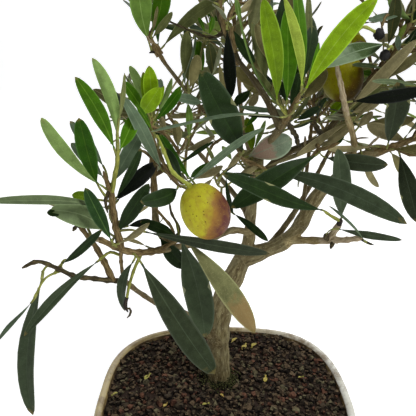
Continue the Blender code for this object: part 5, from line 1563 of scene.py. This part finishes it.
class Twig:
    """A twig's line, radii and finish, and how far along it something grows on it."""

    def __init__(self, line, radii, finish, parent=None, foot=0.0):
        self.line = line
        self.radii = radii
        self.finish = finish
        self.parent = parent
        self.foot = foot
        self.used = 0.0 if parent else 1.0

    def carry(self, place):
        """Keeps a grown twig as far as a place along it, and its parent as far as its foot."""
        self.used = max(self.used, place)
        if self.parent:
            self.parent.carry(self.foot)


class Mass:
    """One mass: its twigs, and the leaves that they carry."""

    def __init__(self, name, limbs, space):
        self.plan = MASSES[name]
        self.name = name
        self.space = space
        self.chance = random.Random(self.plan["seed"])
        self.twigs = []
        self.leaves = []
        line, radii = limbs[self.plan["bough"]]
        start = line[-1] - unit(line[-1] - line[-2]) * STEM_OVERLAP
        tip_radius = self.plan.get("tip_radius", STEM_TIP_RADIUS)
        finish = self.plan.get("stem_finish", "brown")
        stem = smooth_line([start, *self.plan["stem"]])
        self.add_twig(stem, radii[-1] * STEM_FOOT, tip_radius, finish)
        for first, last, finish, points in SHOWN_TWIGS.get(name, ()):
            foot = self.nearest(points[0])
            if np.linalg.norm(foot - points[0]) > TWIG_SNAP:
                foot = points[0]
            self.add_twig(smooth_line([foot, *points[1:]]), first, last, finish)

    def add_twig(self, line, first, last, finish, parent=None, foot=0.0):
        even, run = evenly(line, RING_SPACING)
        most = TWIG_WANDER * min(1, run[-1] / TWIG_WANDER_FROM)
        wander = wandered(even, TWIG_WANDER_SCALE) * most
        even = even + wander * np.minimum(1, run / TWIG_WANDER_FADE)[:, None]
        radii = np.interp(run, (0, run[-1]), (first, last))
        self.twigs.append(Twig(even, radii, finish, parent, foot))
        return self.twigs[-1]

    def nearest(self, point):
        """The nearest place on the mass's wood."""
        spots = np.vstack([twig.line[1:-1] if len(twig.line) > 3 else twig.line for twig in self.twigs])
        return spots[np.argmin(np.linalg.norm(spots - np.asarray(point), axis=1))]

    def add_leaf(self, root, foot, tip, width, top, arch, sweep, kind):
        points = ribbon(foot, tip, width, top, arch, sweep)
        self.space.add(points, RIBBON_FACES)
        self.leaves.append((root, foot, tip, width, top, arch, sweep, kind))

    def add_shown_leaves(self):
        """The leaves of the table, each on the nearest wood or on a short spur from it."""
        for foot, tip, width, turn, arch, sweep, kind in SHOWN_LEAVES.get(self.name, ()):
            foot, tip = np.array(foot), np.array(tip)
            chord = unit(tip - foot)
            top = turned(VIEWER, chord, turn)
            top = unit(top - chord * top.dot(chord))
            sweep = math.copysign(sweep, sweep * (90 - abs(turn)))
            root = self.nearest(foot - chord * PETIOLE_LENGTH * PETIOLE_REACH)
            if np.linalg.norm(foot - root) > SPUR_FROM:
                end = foot - chord * PETIOLE_LENGTH * SPUR_PETIOLE
                bend = end - chord * np.linalg.norm(end - root) * SPUR_BEND
                spur = bent(root, bend, end, np.linspace(0, 1, 9)[:, None])
                self.add_twig(spur, SPUR_RADIUS, SPUR_TIP_RADIUS, "green")
                root = end
            self.add_leaf(root, foot, tip, width, top, arch, sweep, kind)
            blade = ribbon(foot, tip, width * OPEN_WIDTH, top, arch, sweep)
            self.space.keep_open(np.concatenate((blade, (blade[3:] + blade[:-3]) / 2)))

    def in_space(self, point):
        centre, radius = self.plan["space"]
        return np.linalg.norm(point - np.array(centre)) < radius

    def grow_side_twigs(self):
        """Twigs off the stem, a golden turn apart and curving upwards, and finer ones off those."""
        length = self.plan["twig_length"]
        grown = self.grow_off([(self.twigs[0], self.plan["twigs"], length, TWIG_RADIUS)])
        self.grow_off([(twig, FINER_TWIGS, length * FINER_TWIG_PART, TWIG_TIP_RADIUS) for twig in grown])

    def grow_off(self, stems):
        """Side twigs off each (stem, number of places, usual length, radius), where there is room."""
        grown = []
        for stem, count, usual, radius in stems:
            turn = self.chance.uniform(0, 360)
            for place in np.linspace(*SIDE_TWIG_PLACES, count):
                foot, along = place_on(stem.line, place)
                turn += GOLDEN_TURN
                direction = unit(along * SIDE_TWIG_FORWARD + upright_about(along, turn))
                length = usual * self.chance.uniform(*SIDE_TWIG_LENGTHS)
                length = length * (SIDE_TWIG_FIRST - SIDE_TWIG_LOST_TO_TIP * place)
                end = foot + direction * length + np.array((0, 0, length * SIDE_TWIG_RISE))
                line = smooth_line([foot, foot + direction * length / 2, end])
                middle = line[2::4]
                probe, _ = swept(middle, np.full(len(middle), radius * PROBE_WIDTH), 3)
                faces = ring_faces(len(middle), 3)
                if self.in_space(end) and not self.space.blocks(probe, faces):
                    last = radius * SIDE_TWIG_TAPER
                    grown.append(self.add_twig(line, radius, last, "brown", stem, place))
                    self.space.add(probe, faces)
        return grown

    def grow_leaves(self):
        """Pairs of leaves along each twig, each pair a quarter turn round from the last."""
        for twig in self.twigs:
            pairs = max(2, round(run_lengths(twig.line)[-1] / NODE_SPACING))
            turn = self.chance.uniform(0, 180)
            for pair in range(1, pairs + 1):
                place = pair / pairs
                spot, along = place_on(twig.line, place * LAST_LEAVES)
                turn += 90
                for side in (0, 180):
                    spread = self.chance.uniform(-LEAF_TURN_SPREAD, LEAF_TURN_SPREAD)
                    angle = turn + side + spread
                    if any(self.grow_leaf(spot, along, angle, place, size) for size in LEAF_TRIES):
                        twig.carry(place)

    def grow_leaf(self, spot, along, turn, place, size):
        """Tries a leaf of about a size at a node, and returns whether it has room."""
        out = upright_about(along, turn)
        lean = math.radians(self.chance.uniform(*LEAF_LEANS) - LEAF_LEAN_LOST_TO_TIP * place)
        direction = along * math.cos(lean) + out * math.sin(lean)
        direction = unit(direction + np.array((0, 0, self.chance.uniform(*LEAF_RISES))))
        length = self.plan["leaf_length"] * self.chance.uniform(*LEAF_LENGTHS)
        length = length * (LEAF_FIRST - LEAF_LOST_TO_TIP * place) * size
        width = length * self.chance.uniform(*LEAF_TO_WIDTH)
        foot = spot + direction * PETIOLE_LENGTH
        tip = foot + direction * length
        top = along - out * LEAF_TILT
        arch = self.chance.uniform(*LEAF_ARCHES)
        sweep = self.chance.uniform(*LEAF_SWEEPS)
        kind = self.chance.choice(GROWN_KINDS)
        points = ribbon(foot, tip, width, top, arch, sweep)
        if not self.in_space(tip) or self.space.blocks(points, RIBBON_FACES):
            return False
        self.add_leaf(spot, foot, tip, width, top, arch, sweep, kind)
        return True

    def draw_leaves(self, finishes, stalk):
        faces, pattern = leaf_pattern()
        batch = Batch()
        for root, foot, tip, width, top, arch, sweep, kind in self.leaves:
            points, grain, spots = leaf_points(root, foot, tip, width, top, arch, sweep, self.chance)
            upper, under, rib = finishes[kind]
            by_name = {"stalk": stalk, "upper": upper, "under": under, "rib": rib, "under_rib": under}
            batch.add(points, faces, [by_name[name] for name in pattern], grain, spots)
        dressed(batch.build(self.name.replace("foliage", "leaves")), "foliage", self.name)

    def draw_twigs(self, batch, finishes):
        for twig in self.twigs:
            if twig.used:
                count = max(3, math.ceil(twig.used * (len(twig.line) - 1)) + 1)
                line = twig.line[:count]
                run = run_lengths(line)
                nodes = np.arange(TWIG_FIRST_NODE, run[-1] - TWIG_LAST_NODE, TWIG_NODE_SPACING)
                swell = TWIG_SWELL[twig.finish]
                girth = swollen(run, twig.radii[:count], nodes, swell, TWIG_NODE_WIDTH)
                girth[-1] *= TWIG_TIP_PART
                points, grain = swept(line, girth, TWIG_SIDES)
                batch.add(points, ring_faces(len(line), TWIG_SIDES), finishes[twig.finish], grain)


def twig_finishes():
    """Materials of the kinds of twig."""
    return {
        "brown": twig_finish("twig_brown", "352912", "64522f", "8a7850", 0.8),
        "green": twig_finish("twig_green", "4a4824", "6c6a38", "8c8a54", 0.7),
        "stalk": twig_finish("twig_stalk", "4c5018", "7d8030", "a0a24e", 0.6),
        "dark": twig_finish("twig_dark", "1c170a", "352d18", "5c5232", 0.85),
        "black": twig_finish("twig_black", "0d0a07", "1e1813", "3a3027", 0.9),
        "tan": twig_finish("twig_tan", "6b5c40", "96866a", "b8ab8e", 0.85),
    }


def sky_rings(x, z, radius):
    """Points on rings inside an opening."""
    rings = []
    for away in np.arange(radius, 0, -SIGHT_SPACING):
        count = max(6, int(math.tau * away / SIGHT_SPACING))
        angles = np.linspace(0, math.tau, count, endpoint=False)
        rings.append(np.stack((x + away * np.cos(angles), 0 * angles, z + away * np.sin(angles)), axis=1))
    return np.vstack(rings)


def make_foliage(limbs):
    """Shown leaves first, then the openings that stay clear, and then what the rule grows."""
    space = Space()
    for line, radii in limbs.values():
        points, _ = swept(line[::4], radii[::4] + CLEARANCE, 6)
        space.add(points, ring_faces(len(line[::4]), 6))
    masses = [Mass(name, limbs, space) for name in MASSES]
    ball, ball_faces = icosphere(2)
    for _, centre, width, height, *_ in OLIVES:
        points = np.array(centre) + ball * np.array((width, width, height)) / 2
        space.add(points, ball_faces)
        space.keep_open(points)
    for mass in masses:
        mass.add_shown_leaves()
    for gap in SKY_GAPS:
        space.keep_open(sky_rings(*gap), SIGHT_REACH)
    space.close_sights()
    grown = [mass for mass in masses if "space" in mass.plan]
    for mass in grown:
        mass.grow_side_twigs()
    for mass in grown:
        mass.grow_leaves()
    leaf_kinds = leaf_finishes()
    twig_kinds = twig_finishes()
    stalk = twig_finish("leaf_stalk", "4e5220", "757838", "969850", 0.6)
    twigs = Batch()
    for mass in masses:
        mass.draw_leaves(leaf_kinds, stalk)
        mass.draw_twigs(twigs, twig_kinds)
    dressed(twigs.build("twigs"), "bark")


# Olives and dried berries


def icosphere(level):
    """Points of a unit icosphere and its triangles."""
    bm = bmesh.new()
    bmesh.ops.create_icosphere(bm, subdivisions=level, radius=1)
    points = np.array([vert.co[:] for vert in bm.verts])
    faces = [tuple(vert.index for vert in face.verts) for face in bm.faces]
    bm.free()
    return points, faces


def olive_body(width, height, sides, rows):
    """An egg about its own centre, fullest a little below it, with a dimple for the stalk."""
    s = np.linspace(0, math.pi, rows)
    reach = width / 2 * np.sin(s) ** 0.94 * (1 - 0.05 * np.cos(s))
    rise = height / 2 * np.cos(s)
    rise = rise - height * 0.035 * np.exp(-((s / 0.22) ** 2))
    rise = rise - height * 0.012 * np.exp(-(((math.pi - s) / 0.10) ** 2))
    angles = np.arange(sides) * math.tau / sides
    unevenness = 1 + 0.012 * np.sin(2 * angles + 0.7) + 0.008 * np.sin(5 * angles)
    reach = np.maximum(reach, 1e-5)[:, None] * unevenness
    heights = np.broadcast_to(rise[:, None], reach.shape)
    points = np.stack((reach * np.cos(angles), reach * np.sin(angles), heights), axis=2)
    return points.reshape(-1, 3), ring_faces(rows, sides)


def make_fruit():
    """Olives and dried berries, each a piece of its own, and their stalks."""
    finishes = {
        "ripening": olive_finish("olive_ripening", "b2ae2a", "8f6a30", "5a322c", -0.42, 0.95),
        "green": olive_finish("olive_green", "807c04", "5c4a08", "3f2f06", -0.35, 0.95),
        "dried": berry_finish(),
    }
    for name, centre, width, height, lean, kind in OLIVES:
        dried = kind == "dried"
        points, faces = olive_body(width, height, *((28, 18) if dried else (64, 48)))
        if dried:
            wrinkle = [1 + 0.16 * noise.noise(Vector(point) * 900) for point in points]
            points = points * np.array(wrinkle)[:, None]
        batch = Batch()
        batch.add(points, faces, finishes[kind])
        olive = batch.build(name)
        olive.location = centre
        olive.rotation_euler = (0, math.radians(-lean), 0)
        dressed(olive, "foliage")
    stalks = Batch()
    stalk = twig_finish("fruit_stalk", "8c962e", "a9b24a", "c3c772", 0.5)
    for points, first, last in FRUIT_STALKS:
        line, run = evenly(smooth_line(points), RING_SPACING / 2)
        nodes = (run[-1] * 0.3, run[-1] * 0.68)
        radii = swollen(run, np.interp(run, (0, run[-1]), (first, last)), nodes, 0.3)
        radii = radii * (1 + 0.5 * np.exp(-(((run[-1] - run) / 0.0012) ** 2)))
        swept_points, grain = swept(line, radii, 12)
        stalks.add(swept_points, ring_faces(len(line), 12), stalk, grain)
    dressed(stalks.build("fruit_stalks"), "foliage")


# Pot and soil


def pot_ring(inset, height, angles):
    """Points of the pot's outline at a height, drawn in by an inset on every side."""
    scale = POT_FOOT_SCALE + (1 - POT_FOOT_SCALE) * height / POT_HEIGHT
    across, along = np.cos(angles), np.sin(angles)
    power = POT_CORNER_POWER
    reach = (np.abs(across) ** power + np.abs(along) ** power) ** (-1 / power)
    sizes = (POT_WIDTH * scale / 2 - inset, POT_DEPTH * scale / 2 - inset)
    heights = np.full(angles.shape, height)
    return np.stack((across * reach * sizes[0], along * reach * sizes[1], heights), axis=1)


def pot_profile():
    """(inset, height) pairs from the middle of the underside, up outside, over the lip and down."""
    middle = POT_WALL / 2
    profile = [(0.040, 0.0016), (0.012, 0.0016), (0.0098, 0.0010), (0.0086, 0.0), (0.0030, 0.0)]
    profile += [
        (POT_FOOT_ROUND * (1 - math.sin(angle)), POT_FOOT_ROUND * (1 - math.cos(angle)))
        for angle in np.linspace(0, math.pi / 2, 6)[1:]
    ]
    profile += [(0.0, height) for height in np.linspace(0.004, POT_HEIGHT - 0.006, 22)]
    profile += [
        (middle - math.cos(angle) * middle, POT_HEIGHT - POT_LIP_ROUND + math.sin(angle) * POT_LIP_ROUND)
        for angle in np.linspace(0, math.pi, 13)
    ]
    profile += [(POT_WALL, height) for height in np.linspace(POT_HEIGHT - 0.004, SOIL_TOP - 0.006, 6)]
    return profile


def rippled(angles, ripples):
    return sum(height * np.sin(waves * angles + phase) for waves, phase, height in ripples)


def make_pot():
    """Hand-finished pot: glazed outside and over the lip, browned by the soil inside."""
    angles = np.arange(POT_SIDES) * math.tau / POT_SIDES
    batch = Batch()
    profile = pot_profile()
    rings = []
    for inset, height in profile:
        ring = pot_ring(inset, height, angles)
        above = min(height / POT_HEIGHT, 1)
        waver = rippled(angles, POT_OUTLINE_RIPPLES)[:, None]
        throwing = THROWING_DEPTH * math.sin(height * THROWING_MARKS)
        ring[:, :2] *= 1 + (waver + throwing) * above / 0.075
        if height > POT_HEIGHT * 0.9:
            ring[:, 2] += rippled(angles, POT_RIM_RIPPLES)
        rings.append(ring)
    faces = ring_faces(len(profile), POT_SIDES)
    glaze, stained = glaze_finish(), stain_finish()
    inside = len(profile) - POT_INNER_ROWS
    finishes = [glaze if index // POT_SIDES < inside else stained for index in range(len(faces))]
    batch.add(np.concatenate(rings), faces, finishes)
    dressed(batch.build("pot_glazed", 50), "ceramic", "pot")


def inside_pot(x, y, inset):
    """Whether a place on the soil is at least an inset from the pot's inner face."""
    scale = POT_FOOT_SCALE + (1 - POT_FOOT_SCALE) * SOIL_TOP / POT_HEIGHT
    half_width = POT_WIDTH * scale / 2 - POT_WALL - inset
    half_depth = POT_DEPTH * scale / 2 - POT_WALL - inset
    return abs(x / half_width) ** POT_CORNER_POWER + abs(y / half_depth) ** POT_CORNER_POWER < 1


def granule(points, size, chance):
    """A lumpy grain of about a size, turned at random."""
    lumps = np.array([chance.uniform(*GRAIN_LUMPS) for _ in points])
    sizes = np.array([chance.uniform(*GRAIN_SHAPES) for _ in range(3)])
    shape = points * lumps[:, None] * sizes * size / 2
    turn = Matrix.Rotation(chance.uniform(0, math.tau), 3, Vector([chance.gauss(0, 1) for _ in range(3)]))
    return shape @ np.array(turn).T


def grain_spots(chance):
    """Places of the grains in jittered rows: (x, y, height over the bed, size)."""
    spots = []
    steps = int(POT_WIDTH / 2 / GRAIN_SPACING) + 1
    jitter = (-GRAIN_JITTER, GRAIN_JITTER)
    for height, sizes in GRAIN_LAYERS:
        for row in range(-steps, steps + 1):
            for column in range(-steps, steps + 1):
                x = (column + 0.5 * (row % 2)) * GRAIN_SPACING + chance.uniform(*jitter) * GRAIN_SPACING
                y = row * GRAIN_SPACING * 0.9 + chance.uniform(*jitter) * GRAIN_SPACING
                if inside_pot(x, y, GRAIN_FROM_POT):
                    size = chance.uniform(*sizes)
                    spots.append((x, y, height + chance.uniform(*GRAIN_SINK), size))
    return spots


def make_soil():
    """Granular soil in two pieces: grains in jittered rows, and smaller ones between them."""
    chance = random.Random(SOIL_SEED)
    finishes = [grain_finish(name, *colours) for name, (*colours, _) in GRAIN_KINDS.items()]
    weights = [weight for *_, weight in GRAIN_KINDS.values()]
    points, faces = icosphere(2)
    spots = grain_spots(chance)
    bed = BVHTree.FromObject(frame["nodes"]["soil"], bpy.context.evaluated_depsgraph_get())
    trunk = TRUNK_LINE[0][0]
    half = len(spots) // 2
    for name, part in (("soil_grains_a", spots[:half]), ("soil_grains_b", spots[half:])):
        batch = Batch()
        for x, y, height, size in part:
            if math.hypot(x - trunk[0], y - trunk[1]) > GRAIN_FROM_TRUNK:
                bed_height = bed.ray_cast(Vector((x, y, POT_HEIGHT * 2)), Vector((0, 0, -1)))[0].z
                finish = chance.choices(finishes, weights)[0]
                grain = granule(points, size, chance) + np.array((x, y, bed_height + height))
                batch.add(grain, faces, finish)
        dressed(batch.build(name, 42), "soil")
    make_moss(chance, points, faces)
    make_scraps(chance)
    for slot in frame["nodes"]["soil"].material_slots:
        slot.material = grain_finish("soil_bed", "0b0705", "1d1410", "33261e")


def make_moss(chance, points, faces):
    """Tufts of moss round the trunk's foot, and some that climb it."""
    finish = grain_finish("moss", "101208", "2c2e16", "54542c")
    batch = Batch()
    count, nearest, reach, sizes = MOSS_ROUND
    for _ in range(count):
        angle = chance.uniform(0, math.tau)
        away = nearest + abs(chance.gauss(0, reach))
        place = np.array(TRUNK_LINE[0][0]) * (1, 1, 0) + (away * math.cos(angle), away * math.sin(angle), 0)
        mound = MOSS_MOUND * math.exp(-((away / MOSS_MOUND_RADIUS) ** 2))
        place[2] = SOIL_TOP + mound + chance.uniform(*MOSS_LIFT)
        batch.add(granule(points, chance.uniform(*sizes), chance) + place, faces, finish)
    count, nearest, reach, sizes = MOSS_CLIMBING
    for _ in range(count):
        angle = chance.uniform(0, math.tau)
        climb = abs(chance.gauss(0, reach))
        away = nearest - MOSS_CLIMB_TAPER * climb
        place = np.array(TRUNK_LINE[1][0]) + (away * math.cos(angle), away * math.sin(angle), climb)
        batch.add(granule(points, chance.uniform(*sizes), chance) + place, faces, finish)
    dressed(batch.build("moss", 180), "soil")


def make_scraps(chance):
    """Small scraps of fallen leaf that lie on the grains."""
    finishes = [grain_finish(f"leaf_scrap_{code}", code, code, "b5a75c") for code in SCRAP_COLOURS]
    faces, pattern = leaf_pattern()
    batch = Batch()
    for x, y, length, finish in SCRAPS:
        angle = chance.uniform(0, math.tau)
        run = np.array((math.cos(angle), math.sin(angle), chance.uniform(-0.1, 0.25))) * length
        foot = np.array((x, y, SOIL_TOP + SCRAP_LIFT)) - run / 2
        tip = foot + run
        root = foot - (tip - foot) * 0.2
        up = np.array((0, 0.2, 1.0))
        width = length * SCRAP_WIDTH
        shape, grain, spots = leaf_points(root, foot, tip, width, up, 0.1, 0.05, chance)
        batch.add(shape, faces, finishes[finish], grain, spots)
    dressed(batch.build("leaf_scraps"), "soil")


# Floor, camera and light


def make_stage():
    """A pale floor that curves up into a backdrop far behind."""
    bend = FLOOR_BEND
    run = [(FLOOR_FRONT, 0.0), (FLOOR_BACK, 0.0)]
    for angle in np.linspace(0, math.pi / 2, 14):
        run.append((FLOOR_BACK + bend * math.sin(angle), bend - bend * math.cos(angle)))
    run.append((2.4, 4.0))
    points = [(x, y, z - FLOOR_DROP) for y, z in run for x in (-4.0, 4.0)]
    faces = [(i, i + 1, i + 3, i + 2) for i in range(0, len(points) - 2, 2)]
    mesh = bpy.data.meshes.new("floor")
    mesh.from_pydata(points, [], faces)
    mesh.materials.append(floor_finish())
    mesh.shade_smooth()
    add_object("floor", mesh)


def make_camera():
    data = bpy.data.cameras.new("camera")
    data.sensor_width = CAMERA_SENSOR
    data.lens = CAMERA_LENS
    data.clip_start = 0.005
    camera = add_object("camera", data)
    camera.location = CAMERA_PLACE
    camera.rotation_euler = (math.radians(90 - CAMERA_PITCH), 0, 0)
    bpy.context.scene.camera = camera


def make_light():
    """White surroundings, and three large soft lamps that point at the crown."""
    scene = bpy.context.scene
    scene.view_settings.view_transform = "Standard"
    world = bpy.data.worlds.new("studio")
    scene.world = world
    world.use_nodes = True
    background = world.node_tree.nodes["Background"]
    background.inputs["Color"].default_value = (*tone("fafcff"), 1)
    background.inputs["Strength"].default_value = WORLD_STRENGTH
    for name, place, size, power in LAMPS:
        data = bpy.data.lights.new(name, "AREA")
        data.shape = "DISK"
        data.size = size
        data.energy = power
        lamp = add_object(name, data)
        lamp.location = place
        lamp.rotation_euler = (LAMP_TARGET - Vector(place)).to_track_quat("-Z", "Y").to_euler()


def main():
    noise.seed_set(WANDER_SEED)
    make_camera()
    make_light()
    make_stage()
    make_pot()
    make_soil()
    limbs = limb_lines()
    wood = make_wood(limbs, bark_finish())
    dressed(wood, "bark", "trunk", *LIMBS)
    make_foliage(limbs)
    make_fruit()


main()
